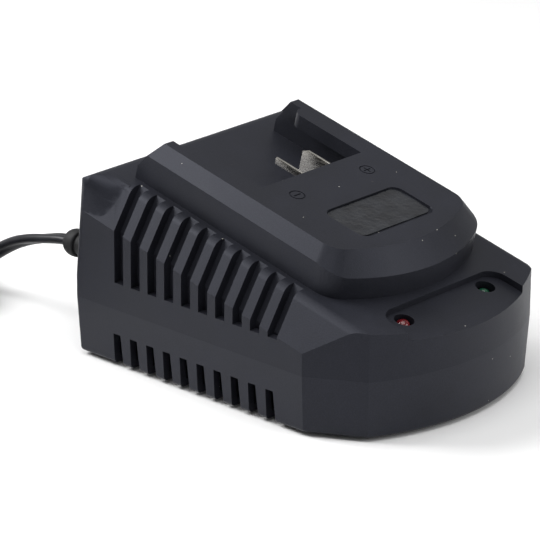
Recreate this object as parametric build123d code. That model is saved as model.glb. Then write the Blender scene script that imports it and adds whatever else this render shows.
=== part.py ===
from build123d import *
from math import cos, radians, sin, sqrt, tan, pi
import os

# Bench charger for a slide-on tool battery.  Millimetres, +Z up, the nose with the two
# lamps points to -Y, the mains cord leaves at +Y.  The origin is on the ground, under
# the middle of the case.

# ---------------------------------------------------------------- case
foot_height = 1.2            # how far the feet stand out below the case
case_length = 130.0
case_width = 100.0
wall = 2.5
bottom_height = 19.5         # bottom case, from its underside to the parting line
draft = 1.2                  # how much narrower the bottom case is at its underside
bottom_edge_radius = 1.6
corner_run = 10.5            # slanted corner of the nose, measured across the case
corner_length = 18.4         # and along it
nose_rise = 11.0             # bulge of the curved nose beyond the slanted corners
rear_corner_radius = 2.2     # at the parting line
crease_corner_radius = 3.2
rear_corner_radius_top = 5.2
inner_corner_radius = 0.6
crease_height = 7.0          # widest line of the rear wall, above the parting line
crease_bulge = 0.6
rear_lean = 3.0              # how far the rear wall leans in, at the loft's top
form_height = 52.0           # height of that loft above the parting line
lip_height = 2.0             # inner lip of the bottom case, standing in the top case
lip_thickness_low = 1.0
lip_clearance = 0.1

# ---------------------------------------------------------------- sloping top
slope = 13.4                 # degrees, falling towards the nose
dock_y = 9.1                 # front wall of the battery recess, on the sloping top
dock_z = 51.7
knee_drop = 12.0             # knee of the slanted side, below the top and square to it
slant_run = 8.2              # how far the slanted side leans in above the knee
knee_inset = 0.3             # and how far the knee lies in from the side at the parting line
roof_edge_radius = 4.5       # slanted sides into the sloping top
rear_roof_radius = 5.7       # rear wall into the sloping top
shoulder_v = 39.5            # from here the slanted side grows out to the full rear corner
shoulder_run = 11.5
shoulder_radius = 5.0        # top edge of that corner
shoulder_sink = 0.3          # how far it starts under the slanted side

# ---------------------------------------------------------------- grilles
groove_count = 10
groove_pitch = 7.48
groove_width = 4.0
groove_depth = 3.0
groove_back_y = 46.2         # rear edge of the rearmost groove
groove_bottom = 30.0         # height of the grooves' sills above the ground
vent_count = 10
vent_pitch = 7.48
vent_back_y = 47.5
vent_width_top = 3.2
vent_width_bottom = 4.0
vent_height = 10.65          # above the underside of the bottom case
vent_reach = 5.2             # how far the vents cut in along the floor

# ---------------------------------------------------------------- battery dock
dock_height = 14.5
dock_half_width = 36.0
dock_front = 54.7            # from the recess front wall to the dock's curved nose
dock_nose_radius = 62.0
dock_corner_radius = 10.05
bevel_side = 4.1             # bevel, across
bevel_side_drop = 4.75       # bevel, down the side walls
bevel_front = 7.0            # bevel at the nose, back from the dock's front
bevel_front_drop = 6.8
bevel_corner_radius = 8.0
rail_length = 36.2           # along the top of the rails
rail_foot_length = 42.3      # along their feet
rail_foot_height = 4.5       # upright foot of each rail's end
slot_half_width = 23.75      # between the lips of the T-slot
groove_half_width = 29.8     # between the walls under the lips
lip_thickness = 4.85
lip_length = 31.2
lip_corner_radius = 3.5
rail_top_land = 3.9          # top of the rail behind the lips
recess_wall = 2.5

# ---------------------------------------------------------------- badge and marks
badge_length = 35.0
badge_width = 18.4
badge_corner_radius = 3.5
badge_recess = 1.0
badge_thickness = 0.5
badge_clearance = 0.35
badge_front_gap = 1.6        # the plate lies towards the rear of its pocket
badge_v = -29.9
mark_x = 16.8
mark_v = -9.0
mark_diameter = 5.4
mark_line = 0.5
mark_depth = 0.4
mark_bar = 3.0

# ---------------------------------------------------------------- lamps
lamp_recess_depth = 2.2
lamp_recess_half_width = 28.0
lamp_recess_back = 57.8
lamp_recess_corner = 6.0
lamp_x = 19.8
lamp_v = -62.3
lamp_diameter = 5.0
lamp_hole_diameter = 6.6
lamp_sink_red = 0.1          # lamp tip below the floor of its recess
lamp_sink_green = 1.0
lamp_body = 6.0
lamp_flange = 5.8
lamp_flange_height = 1.0
lamp_standoff = 3.0          # bare leads between the lower lamp and the board
lead_thickness = 0.5
lead_spacing = 2.54
lead_hole = 0.9
lead_stub = 1.2              # lead ends beyond their board
lamp_board_width = 52.0
lamp_board_depth = 9.0
lamp_post_x = 9.0
lamp_post = 5.0
lamp_screw_length = 7.0
board_thickness = 1.6

# ---------------------------------------------------------------- contacts
blade_thickness = 0.8
blade_positive_x = 9.1
blade_negative_x = -3.9
blade_length = 12.2
blade_top = 14.1
blade_bottom = 1.5
blade_arm = 2.4              # height of the slim arm of the negative blade
blade_foot = 2.4             # length of its upright foot
blade_chamfer = 2.2
blade_root_low = 3.0
blade_root_high = 10.0
tail_low = 5.5               # solder tail, narrower than the root
tail_high = 7.5
blade_tail = 4.0             # its length behind the contact block
block_depth = 10.0
block_margin = 4.5
block_low = 1.0
block_high = 11.5
block_rib = 1.2
block_clearance = 0.1

# ---------------------------------------------------------------- fasteners and feet
screw_rear_x = 42.0
screw_rear_y = 56.0
screw_front_x = 33.0
screw_front_y = -46.5
screw_diameter = 3.0
screw_head = 5.8
screw_head_height = 2.2
screw_length = 24.0
screw_recess = 3.5           # depth of the counterbore from the underside
screw_recess_diameter = 6.2
screw_hole = 3.3
boss_diameter = 8.0
boss_gap = 0.2               # between the bosses of the two cases
pilot_clearance = 0.05
foot_diameter = 11.0
foot_socket = 0.8
foot_clearance = 0.1
foot_x = 31.0
foot_rear_y = 43.0
foot_front_y = -36.0

# ---------------------------------------------------------------- main board
board_width = 80.0
board_length = 76.0
board_y = 2.0
board_lift = 5.0             # from the floor of the bottom case
board_boss = 7.0
board_screw_inset = 4.0
board_screw_diameter = 2.5
board_screw_hole = 2.9
board_screw_head = 5.0
board_screw_head_height = 1.6
board_screw_length = 6.0
transformer_x = 5.0
transformer_y = 8.0
core_width = 34.0
core_depth = 12.0
core_height = 28.0
core_leg = 11.0              # width of the middle leg
core_window = 6.5            # width of each window
core_yoke = 6.0
bobbin_lift = 3.0            # core's underside above the board
bobbin_wall = 1.2
winding_build = 4.2          # thickness of the winding
bobbin_rail = 3.0
fit = 0.1                    # clearance between stacked small parts
primary_x = -24.0
primary_y = -14.0
primary_diameter = 18.0
primary_height = 29.0
output_diameter = 10.0
output_height = 20.0
output_places = [(23.0, -22.0), (11.0, -29.0)]
x_cap_x = -17.0
x_cap_y = 22.3
x_cap_length = 18.0
x_cap_width = 8.5
x_cap_height = 15.0
filter_x = 4.0
filter_y = 31.0
filter_outer = 20.0
filter_inner = 10.0
filter_width = 8.0
filter_winding = 1.5
filter_gap = 3.0             # bare core between the two windings
fuse_x = -35.0
fuse_y = 13.0
fuse_diameter = 5.2
fuse_length = 20.0
fuse_lift = 1.0
varistor_x = -22.0
varistor_y = 32.0
varistor_diameter = 10.0
varistor_thickness = 4.0
varistor_lift = 2.0
bridge_x = -22.0
bridge_y = 6.0
bridge_length = 15.0
bridge_width = 3.5
bridge_height = 11.0
bridge_lift = 3.0
sink_x = 31.0
sink_y = 0.0
sink_length = 38.0
sink_height = 24.0
sink_plate = 2.0
sink_fin = 1.5
sink_fin_length = 5.5
sink_fin_count = 4
package_width = 10.0
package_thickness = 4.5
package_height = 15.0
package_lift = 3.0
mosfet_y = 12.0
diode_y = -10.0
leg_thickness = 0.6
leg_spacing = 2.54
chip_x = -12.0
chip_y = -29.0
chip_length = 10.0
chip_width = 6.5
chip_height = 3.5
coupler_x = -10.0
coupler_y = -12.0
coupler_length = 6.5
coupler_width = 4.6
coupler_height = 3.5

# ---------------------------------------------------------------- mains entry
relief_inset = 16.2          # from the left side of the case
relief_z = 30.7
relief_length = 18.4         # outside the case
relief_diameter = 10.0
relief_taper = 0.3           # each ring is smaller by this than the one before
relief_ring = 4.1
relief_gap = 2.2
relief_ring_count = 3
relief_core = 7.2
relief_neck = 8.0
relief_flange = 12.0
relief_flange_length = 2.0
relief_clearance = 0.2
relief_edge = 0.9
tongue_width = 17.0
tongue_clearance = 0.15
cord_width = 5.2
cord_clearance = 0.05
cord_inside = 41.0           # y of the cord's stripped end inside the case
clamp_y = 46.75
clamp_length = 6.5
saddle_length = 4.5
clamp_width = 20.0
clamp_cover = 3.0            # bar above the cord
clamp_screw_x = 6.8
clamp_screw_length = 14.0
wire_diameter = 2.0
wire_bend = 3.0
thin_wire = 1.2
mains_wire_spacing = 2.8
mains_pad_x = [-37.0, -32.6]
mains_pad_y = 29.0
battery_pad_y = -18.0
lamp_pad_y = -33.0
lamp_wire_spacing = 2.5

# ---------------------------------------------------------------- cord, coil and plug
cord_route = [               # from the strain relief's end down to the coil
    (-33.9, 93.0, 29.0), (-33.8, 102.5, 26.3), (-33.4, 112.0, 22.3), (-32.5, 123.4, 14.9),
    (-31.6, 132.2, 7.5), (-30.9, 138.9, 4.15), (-30.1, 145.9, 2.6),
]
coil_x = -64.0
coil_y = 153.5
coil_mean_diameter = 58.0
coil_columns = 3
coil_rows = 3
coil_entry = 6.0             # the cord's tube ends this far before it touches the coil
tail_start = (-55.15, 186.5)
tail_route = [(-71.0, 187.9, 14.8), (-82.5, 181.7, 18.9), (-90.0, 169.8, 22.45)]
tie_width = 8.0
tie_thickness = 0.6
plug_x = -90.0               # the plug lies on the coil, its pins towards the case
plug_y = 158.5               # where the tail enters the plug's neck
plug_neck = 8.6
plug_neck_length = 12.0
plug_length = 29.0
plug_width = 35.3
plug_height = 13.7
plug_corner_radius = 5.0
plug_shoulder = 10.0         # the body widens over this length
plug_pin_diameter = 4.0
plug_pin_length = 19.0
plug_pin_spacing = 18.6

# ---------------------------------------------------------------- worked out
underside = foot_height
floor_top = underside + wall
split = underside + bottom_height
half_width = case_width / 2
half_length = case_length / 2
nose_half_width = half_width - corner_run
nose_y = -half_length + nose_rise
shoulder_y = nose_y + corner_length
slope_rad = radians(slope)
dock = Plane(origin=(0, dock_y, dock_z), x_dir=(1, 0, 0), z_dir=(0, -sin(slope_rad), cos(slope_rad)))
run_per_drop = slant_run / knee_drop
knee_half_width = half_width - knee_inset
slant_top = knee_half_width - slant_run
slant_cos = knee_drop / sqrt(knee_drop**2 + slant_run**2)
inner_side = half_width - groove_depth - wall
grille_front_y = groove_back_y - (groove_count - 1) * groove_pitch - groove_width
board_z = floor_top + board_lift
board_top = board_z + board_thickness
rear_inner_y = half_length - wall
relief_x = relief_inset - half_width
lamp_floor = -lamp_recess_depth
lamp_board_n = lamp_floor - max(lamp_sink_red, lamp_sink_green) - lamp_body - lamp_standoff
shelf_n = -lamp_recess_depth - wall
block_centre = (blade_positive_x + blade_negative_x) / 2
block_half = (blade_positive_x - blade_negative_x) / 2 + block_margin
block_back = recess_wall + block_depth
far = 200.0


def on_dock(shape):
    """Put a shape drawn in the dock's own frame onto the sloping top."""
    return dock * shape


def dock_point(x, v, n):
    """Ground-frame point given across, along and above the sloping top."""
    point = dock.from_local_coords(Vector(x, v, n))
    return (point.X, point.Y, point.Z)


def box(x0, x1, y0, y1, z0, z1):
    return Pos((x0 + x1) / 2, (y0 + y1) / 2, (z0 + z1) / 2) * Box(x1 - x0, y1 - y0, z1 - z0)


def rod(diameter, bottom, top, x=0.0, y=0.0):
    return Pos(x, y, (bottom + top) / 2) * Cylinder(diameter / 2, top - bottom)


def rod_y(diameter, start, end, x, z):
    return Pos(x, (start + end) / 2, z) * Rot(90, 0, 0) * Cylinder(diameter / 2, end - start)


def group(shapes):
    """Several separate solids in one node."""
    return Compound(children=list(shapes))


def wire_rod(points, diameter, bends):
    """A round wire bent along a few points."""
    path = FilletPolyline(*points, radius=bends)
    start = Plane(origin=path @ 0, z_dir=path % 0)
    return sweep(start * Circle(diameter / 2), path=path)


# ---------------------------------------------------------------- case forms

def case_outline(inset=0.0, rear_shift=0.0, corner=rear_corner_radius):
    """Plan of the case: straight sides, slanted corners and a curved nose."""
    rear = half_length + rear_shift
    with BuildSketch() as plan:
        with BuildLine():
            Polyline(
                (nose_half_width, nose_y),
                (half_width, shoulder_y),
                (half_width, rear),
                (-half_width, rear),
                (-half_width, shoulder_y),
                (-nose_half_width, nose_y),
            )
            ThreePointArc((-nose_half_width, nose_y), (0, -half_length), (nose_half_width, nose_y))
        make_face()
        if inset:
            offset(amount=-inset, kind=Kind.INTERSECTION)
        fillet(plan.vertices().group_by(Axis.Y)[-1], max(corner - inset, inner_corner_radius))
    return plan.sketch


def slanted_profile(inset=0.0, roof_inset=0.0):
    """The room under the sloping top and between its two slanted sides."""
    roof_x = slant_top - inset / slant_cos + roof_inset * run_per_drop
    out_x = half_width + 5.0
    out_n = -roof_inset - (out_x - roof_x) / run_per_drop
    with BuildSketch(Plane.XZ) as profile:
        Polygon(
            (-out_x, -far / 2), (-out_x, out_n), (-roof_x, -roof_inset),
            (roof_x, -roof_inset), (out_x, out_n), (out_x, -far / 2), align=None,
        )
    return on_dock(extrude(profile.sketch, far / 2, both=True))


def case_loft(inset=0.0):
    """Upright walls of the top case, up past its roof; the rear wall leans in."""
    sections = [
        Pos(0, 0, split) * case_outline(inset),
        Pos(0, 0, split + crease_height) * case_outline(inset, crease_bulge, crease_corner_radius),
        Pos(0, 0, split + form_height) * case_outline(
            inset, crease_bulge - rear_lean, rear_corner_radius_top),
    ]
    return loft(sections, ruled=True)


def rear_shoulder(inset=0.0):
    """Rear corner on +X, where the slanted side grows out to the full width."""
    half, top = half_width - inset, -inset
    lean = slant_top - (inset + shoulder_sink) / slant_cos
    low = -(half_width - slant_top) / run_per_drop - inset - shoulder_sink
    start = shoulder_v + inset
    sections = []
    with BuildSketch(Plane.XZ.offset(-start)) as slanted:
        levels = [top - shoulder_sink, top - shoulder_radius, low]
        Polygon((slant_top / 2, low), (slant_top / 2, levels[0]),
                *[(lean - n * run_per_drop, n) for n in levels], align=None)
    sections.append(slanted.sketch)
    radius = shoulder_radius - inset
    for v in (start + shoulder_run, half_length):
        with BuildSketch(Plane.XZ.offset(-v)) as full:
            with BuildLine():
                Polyline((half, top - radius), (half, low), (slant_top / 2, low),
                         (slant_top / 2, top), (half - radius, top))
                RadiusArc((half - radius, top), (half, top - radius), radius)
            make_face()
        sections.append(full.sketch)
    return on_dock(loft(sections, ruled=True))


def rear_edge_cutter(inset=0.0):
    """What the rounding between the rear wall and the sloping top takes away."""
    lean = Vector(0, -rear_lean, form_height - crease_height).normalized()
    wall_out = Vector(0, lean.Z, -lean.Y)
    roof_out, along = dock.z_dir, dock.y_dir
    wall_point = Vector(0, half_length + crease_bulge - inset, split + crease_height)
    roof_point = dock.origin - roof_out * inset
    corner = roof_point + along * ((wall_point - roof_point).dot(wall_out) / along.dot(wall_out))
    radius = rear_roof_radius - inset
    reach = radius * sqrt((1 - roof_out.dot(wall_out)) / (1 + roof_out.dot(wall_out)))
    on_roof, on_wall = corner - along * reach, corner - lean * reach
    middle = on_roof - roof_out * radius + (roof_out + wall_out).normalized() * radius
    out = (roof_out + wall_out).normalized() * 2 * rear_roof_radius
    with BuildSketch(Plane.YZ) as section:
        with BuildLine():
            Polyline(*[(p.Y, p.Z) for p in (
                on_wall, on_wall + wall_out * rear_roof_radius, corner + out,
                on_roof + roof_out * rear_roof_radius, on_roof)])
            ThreePointArc(*[(p.Y, p.Z) for p in (on_roof, middle, on_wall)])
        make_face()
    return extrude(section.sketch, case_width, both=True)


def both_sides(shape):
    return [shape, mirror(shape, about=Plane.YZ)]


def is_slanted_edge(edge):
    """Long edges between the slanted sides and the sloping top."""
    local = dock.to_local_coords(edge @ 0.5)
    return (abs(abs(local.X) - slant_top) < 0.5 and abs(local.Z) < 0.1
            and edge.length > slant_top)


def top_form():
    """Outer body of the top case, before the dock is added."""
    roof = slanted_profile()
    roof = fillet([e for e in roof.edges() if is_slanted_edge(e)], roof_edge_radius)
    for shoulder in both_sides(rear_shoulder()):
        roof += shoulder
    return (case_loft() & roof) - rear_edge_cutter()


def top_cavity():
    """Room inside the top case; its sides are thicker behind the blind grooves."""
    room = (case_loft(wall) & slanted_profile(wall, wall)) - rear_edge_cutter(wall)
    zone = box(-far / 2, far / 2, grille_front_y - wall, groove_back_y + wall,
               groove_bottom - wall, far)
    core = box(-inner_side, inner_side, -far, far, 0, far) & slanted_profile(groove_depth + wall, wall)
    shelf_half = lamp_recess_half_width + wall
    shelf = on_dock(box(-shelf_half, shelf_half, -far, -lamp_recess_back + wall, shelf_n, 0))
    return room - (zone - core) - shelf


def dock_outline(half, front, corner, back):
    """D-shaped plan of the dock: straight sides and a curved nose."""
    side_v = front + dock_nose_radius - sqrt(dock_nose_radius**2 - half**2)
    with BuildSketch() as plan:
        with BuildLine():
            Polyline((half, side_v), (half, back), (-half, back), (-half, side_v))
            ThreePointArc((-half, side_v), (0, front), (half, side_v))
        make_face()
        fillet([v for v in plan.vertices() if abs(v.Y - side_v) < 0.01], corner)
    return plan.sketch


def dock_form(inset=0.0):
    """The dock as a closed block in its own frame: upright walls under a bevel."""
    half = dock_half_width - inset
    front = -dock_front + inset
    height = dock_height - inset
    corner = dock_corner_radius - inset
    top_half = half - bevel_side
    low_half = top_half + bevel_side * bevel_front_drop / bevel_side_drop
    walls = Pos(0, 0, -wall) * extrude(dock_outline(half, front, corner, dock_front), wall + height)
    low = dock_outline(low_half, front, corner, dock_front)
    high = dock_outline(top_half, front + bevel_front, bevel_corner_radius - inset, dock_front)
    cap = loft([Pos(0, 0, height - bevel_front_drop) * low, Pos(0, 0, height) * high], ruled=True)
    skirt = box(-far / 2, far / 2, -far, far, -wall, height - bevel_front_drop)
    return (walls & skirt) + (walls & cap)


def rail_end_cut():
    """Everything behind the slanted ends of the rails."""
    lean = (rail_foot_length - rail_length) / (dock_height - rail_foot_height)
    with BuildSketch(Plane.YZ) as side:
        Polygon(
            (rail_length - lean * 5, dock_height + 5), (rail_foot_length, rail_foot_height),
            (rail_foot_length, -2 * wall), (far, -2 * wall), (far, dock_height + 5), align=None,
        )
    return extrude(side.sketch, far / 2, both=True)


def battery_recess():
    """T-shaped channel between the rails, open at the rear; wider behind the lips."""
    land_half = dock_half_width - bevel_side - rail_top_land
    with BuildSketch() as plan:
        with BuildLine():
            Polyline((slot_half_width, 0), (slot_half_width, lip_length), (land_half, lip_length),
                     (land_half, far), (-land_half, far), (-land_half, lip_length),
                     (-slot_half_width, lip_length), (-slot_half_width, 0), close=True)
        make_face()
        tips = [v for v in plan.vertices()
                if abs(abs(v.X) - slot_half_width) < 0.01 and abs(v.Y - lip_length) < 0.01]
        fillet(tips, lip_corner_radius)
    throat = extrude(plan.sketch, dock_height + 1)
    under_lips = box(-groove_half_width, groove_half_width, 0, far, 0, dock_height - lip_thickness)
    return throat + under_lips


def blade_slots():
    """Slots in the recess's front wall for the roots of the two contacts."""
    cuts = []
    for x in (blade_negative_x, blade_positive_x):
        half = blade_thickness / 2 + block_clearance
        cuts.append(box(x - half, x + half, -recess_wall - 1, 0.5,
                        blade_root_low - block_clearance, blade_root_high + block_clearance))
    return cuts


def polarity_marks():
    """Shallow circled minus and plus signs in front of the recess."""
    shapes = []
    for side in (-1, 1):
        outline = Circle(mark_diameter / 2) - Circle(mark_diameter / 2 - mark_line)
        outline += Rectangle(mark_bar, mark_line)
        if side > 0:
            outline += Rectangle(mark_line, mark_bar)
        shapes.append(extrude(Pos(side * mark_x, mark_v, dock_height - mark_depth) * outline,
                              mark_depth + 1))
    return shapes


def badge_pocket():
    outline = RectangleRounded(badge_length, badge_width, badge_corner_radius)
    return extrude(Pos(0, badge_v, dock_height - badge_recess) * outline, badge_recess + 1)


def lamp_recess():
    """Shallow step across the nose, open to the front, with a hole for each lamp."""
    with BuildSketch() as plan:
        with Locations((0, -lamp_recess_back - far / 4)):
            Rectangle(2 * lamp_recess_half_width, far / 2)
        fillet(plan.vertices().group_by(Axis.Y)[-1], lamp_recess_corner)
    cuts = [Pos(0, 0, lamp_floor) * extrude(plan.sketch, lamp_recess_depth + 1)]
    for side in (-1, 1):
        cuts.append(rod(lamp_hole_diameter, lamp_floor - 3 * wall, lamp_floor + 1,
                        side * lamp_x, lamp_v))
    return cuts


def groove_cutters():
    """Blind upright grooves along each side, over the knee and up to the roof."""
    core = box(-half_width + groove_depth, half_width - groove_depth, -far, far, 0, far)
    core &= slanted_profile(groove_depth)
    cuts = []
    for k in range(groove_count):
        back = groove_back_y - k * groove_pitch
        cuts.append(box(-far / 2, far / 2, back - groove_width, back, groove_bottom, far / 2) - core)
    return cuts


def screw_places():
    return [(-screw_rear_x, screw_rear_y), (screw_rear_x, screw_rear_y),
            (-screw_front_x, screw_front_y), (screw_front_x, screw_front_y)]


def tongue_block(clearance=0.0):
    """Where the bottom case's tongue closes the rear wall below the mains entry."""
    half = tongue_width / 2 + clearance
    return box(relief_x - half, relief_x + half, rear_inner_y - wall, half_length + wall,
               split - lip_height, relief_z)


def relief_hole():
    """Hole through the rear wall for the neck of the strain relief."""
    return rod_y(relief_neck + 2 * cord_clearance, rear_inner_y - wall, half_length + 2 * wall,
                 relief_x, relief_z)


def lip_ring(clearance=0.0):
    """Inner half of the wall at the parting line, where the two cases overlap."""
    outer = case_outline(wall - lip_thickness_low - clearance)
    inner = case_outline(wall + clearance)
    return Pos(0, 0, split) * extrude(outer - inner, lip_height + clearance)


# ---------------------------------------------------------------- the two cases

def make_top_case():
    form = top_form()
    body = form
    for cut in groove_cutters():
        body -= cut
    room = top_cavity()
    body -= room
    block = on_dock(dock_form() - rail_end_cut())
    body += block
    hollow = dock_form(wall) & box(-far, far, -far, -recess_wall, -far, far)
    body -= on_dock(hollow)
    body -= on_dock(battery_recess())

    posts = [rod(boss_diameter, split + boss_gap / 2, far / 2, x, y) & form for x, y in screw_places()]
    for side in (-1, 1):
        posts.append(on_dock(rod(lamp_post, lamp_board_n, shelf_n, side * lamp_post_x,
                                 lamp_v)))
        edge = block_centre + side * (block_half + block_clearance)
        posts.append(on_dock(box(min(edge, edge + side * block_rib), max(edge, edge + side * block_rib),
                                 -block_back, -recess_wall, block_low, dock_height - wall)))
    for post in posts:
        body += post

    cuts = [on_dock(c) for c in blade_slots() + polarity_marks() + [badge_pocket()] + lamp_recess()]
    for x, y in screw_places():
        top = underside + screw_recess + screw_length
        cuts.append(rod(screw_diameter + 2 * pilot_clearance, split - 1, top + 1, x, y))
    for side in (-1, 1):
        cuts.append(on_dock(rod(board_screw_diameter + 2 * pilot_clearance, lamp_board_n - 1,
                                shelf_n - fit, side * lamp_post_x, lamp_v)))
    cuts += [lip_ring(lip_clearance), tongue_block(tongue_clearance), relief_hole()]
    for cut in cuts:
        body -= cut
    return body


def vent_cutters():
    """Through vents along each side of the bottom case; their front edges lean."""
    cuts = []
    top = underside + vent_height
    for k in range(vent_count):
        back = vent_back_y - k * vent_pitch
        with BuildSketch(Plane.YZ) as side:
            Polygon((back, top), (back - vent_width_top, top),
                    (back - vent_width_bottom, underside - 1), (back, underside - 1), align=None)
        slab = extrude(side.sketch, far / 2, both=True)
        cuts.append(slab - box(-half_width + vent_reach, half_width - vent_reach, -far, far, 0, far))
    return cuts


def make_bottom_case():
    body = loft([Pos(0, 0, underside) * case_outline(draft), Pos(0, 0, split) * case_outline()],
                ruled=True)
    body = fillet(body.faces().sort_by(Axis.Z)[0].edges(), bottom_edge_radius)
    body -= loft([Pos(0, 0, floor_top) * case_outline(draft + wall),
                  Pos(0, 0, split) * case_outline(wall)], ruled=True)
    for cut in vent_cutters():
        body -= cut

    tongue = (case_loft() - case_loft(wall)) & tongue_block()
    additions = [lip_ring() - tongue_block(), tongue & box(-far, far, -far, far, split, far)]
    for x, y in screw_places():
        additions.append(rod(boss_diameter, floor_top - wall / 2, split - boss_gap / 2, x, y))
    for x, y in board_screw_places():
        additions.append(rod(board_boss, floor_top - wall / 2, board_z, x, y))
    half = clamp_width / 2
    additions.append(box(relief_x - half, relief_x + half, clamp_y - saddle_length / 2,
                         clamp_y + saddle_length / 2, floor_top - wall / 2,
                         relief_z - cord_width / 2))
    for shape in additions:
        body += shape

    cuts = [relief_hole()]
    for x, y in screw_places():
        cuts.append(rod(screw_recess_diameter, underside - 1, underside + screw_recess, x, y))
        cuts.append(rod(screw_hole, underside, split + 1, x, y))
    for x, y in board_screw_places():
        cuts.append(rod(board_screw_diameter + 2 * pilot_clearance, floor_top, board_z + 1, x, y))
    for x, y in foot_places():
        cuts.append(rod(foot_diameter + 2 * foot_clearance, underside - 1, underside + foot_socket, x, y))
    for side in (-1, 1):
        cuts.append(rod(board_screw_diameter + 2 * pilot_clearance,
                        clamp_top() - clamp_screw_length - fit, relief_z, relief_x + side * clamp_screw_x,
                        clamp_y))
    for cut in cuts:
        body -= cut
    return body


def foot_places():
    return [(side * foot_x, y) for side in (-1, 1) for y in (foot_rear_y, foot_front_y)]


def board_screw_places():
    across = board_width / 2 - board_screw_inset
    along = board_length / 2 - board_screw_inset
    return [(i * across, board_y + j * along) for i in (-1, 1) for j in (-1, 1)]


def screw(diameter, head, head_height, length):
    """A screw pointing up, the underside of its head at z = 0."""
    return rod(diameter, 0, length) + rod(head, -head_height, 0)


def make_rubber_feet():
    return group(rod(foot_diameter, 0, underside + foot_socket, x, y) for x, y in foot_places())


def make_case_screws():
    shape = screw(screw_diameter, screw_head, screw_head_height, screw_length)
    return group(Pos(x, y, underside + screw_recess) * shape for x, y in screw_places())


def make_badge_plate():
    outline = RectangleRounded(badge_length - 2 * badge_clearance,
                               badge_width - badge_clearance - badge_front_gap,
                               badge_corner_radius - badge_clearance)
    v = badge_v + (badge_front_gap - badge_clearance) / 2
    return on_dock(extrude(Pos(0, v, dock_height - badge_recess) * outline, badge_thickness))


# ---------------------------------------------------------------- lamps and contacts

def make_lamp(side, sink):
    """A round lamp with a domed tip, a flange and two leads, standing on its board."""
    dome = lamp_floor - sink - lamp_diameter / 2
    flange_n = lamp_floor - sink - lamp_body
    body = rod(lamp_diameter, flange_n, dome) + Pos(0, 0, dome) * Sphere(lamp_diameter / 2)
    body += rod(lamp_flange, flange_n, flange_n + lamp_flange_height)
    for i in (-1, 1):
        x = i * lead_spacing / 2
        half = lead_thickness / 2
        body += box(x - half, x + half, -half, half, lamp_board_n - board_thickness - lead_stub,
                    flange_n)
    return on_dock(Pos(side * lamp_x, lamp_v, 0) * body)


def make_lamp_board():
    body = box(-lamp_board_width / 2, lamp_board_width / 2, lamp_v - lamp_board_depth / 2,
               lamp_v + lamp_board_depth / 2, lamp_board_n - board_thickness, lamp_board_n)
    for side in (-1, 1):
        for i in (-1, 1):
            body -= rod(lead_hole, lamp_board_n - 2 * board_thickness, lamp_board_n + 1,
                        side * lamp_x + i * lead_spacing / 2, lamp_v)
        body -= rod(board_screw_hole, lamp_board_n - 2 * board_thickness, lamp_board_n + 1,
                    side * lamp_post_x, lamp_v)
    return on_dock(body)


def make_lamp_board_screws():
    shape = screw(board_screw_diameter, board_screw_head, board_screw_head_height, lamp_screw_length)
    under = lamp_board_n - board_thickness
    return group(on_dock(Pos(side * lamp_post_x, lamp_v, under) * shape) for side in (-1, 1))


def make_lamp_wires():
    wires = []
    for k in (-1, 0, 1):
        x = k * lamp_wire_spacing
        points = [dock_point(x, lamp_v + 2, lamp_board_n - board_thickness),
                  dock_point(x, lamp_v + 2, lamp_board_n - board_thickness - 5),
                  (x, lamp_pad_y, board_top + 6), (x, lamp_pad_y, board_top)]
        wires.append(wire_rod(points, thin_wire, wire_bend / 1.5))
    return group(wires)


def blade_root(x):
    """The part of a contact that passes through the recess's wall and the block."""
    half = blade_thickness / 2
    root = box(x - half, x + half, -block_back, 0, blade_root_low, blade_root_high)
    tail = box(x - half, x + half, -block_back - blade_tail, -block_back, tail_low, tail_high)
    return root + tail


def make_terminal_positive():
    """Full-height contact blade with its upper rear corner cut off."""
    with BuildSketch(Plane.YZ) as side:
        Polygon((0, blade_bottom), (blade_length, blade_bottom),
                (blade_length, blade_top - blade_chamfer / 2),
                (blade_length - blade_chamfer, blade_top), (0, blade_top), align=None)
    blade = Pos(blade_positive_x, 0, 0) * extrude(side.sketch, blade_thickness / 2, both=True)
    return on_dock(blade + blade_root(blade_positive_x))


def make_terminal_negative():
    """Slim contact arm along the top, on an upright foot."""
    half = blade_thickness / 2
    x = blade_negative_x
    arm = box(x - half, x + half, 0, blade_length, blade_top - blade_arm, blade_top)
    foot = box(x - half, x + half, 0, blade_foot, blade_root_low, blade_top)
    return on_dock(arm + foot + blade_root(x))


def make_terminal_block():
    body = box(block_centre - block_half, block_centre + block_half, -block_back, -recess_wall,
               block_low, block_high)
    for x in (blade_negative_x, blade_positive_x):
        half = blade_thickness / 2
        body -= box(x - half, x + half, -block_back - 1, 0, blade_root_low, blade_root_high)
    return on_dock(body)


def make_battery_wires():
    wires = []
    n = (tail_low + tail_high) / 2
    for x in (blade_negative_x, blade_positive_x):
        points = [dock_point(x, -block_back - blade_tail, n),
                  dock_point(x, -block_back - blade_tail - 6.5, n),
                  (x, battery_pad_y, dock_z - 12), (x, battery_pad_y, board_top)]
        wires.append(wire_rod(points, wire_diameter, wire_bend))
    return group(wires)


# ---------------------------------------------------------------- main board and its parts

def make_main_pcb():
    body = box(-board_width / 2, board_width / 2, board_y - board_length / 2,
               board_y + board_length / 2, board_z, board_top)
    for x, y in board_screw_places():
        body -= rod(board_screw_hole, board_z - 1, board_top + 1, x, y)
    return body


def make_pcb_screws():
    shape = Rot(180, 0, 0) * screw(board_screw_diameter, board_screw_head, board_screw_head_height,
                                   board_screw_length)
    return group(Pos(x, y, board_top) * shape for x, y in board_screw_places())


def in_transformer(shape):
    return Pos(transformer_x, transformer_y, board_top + bobbin_lift) * shape


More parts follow.
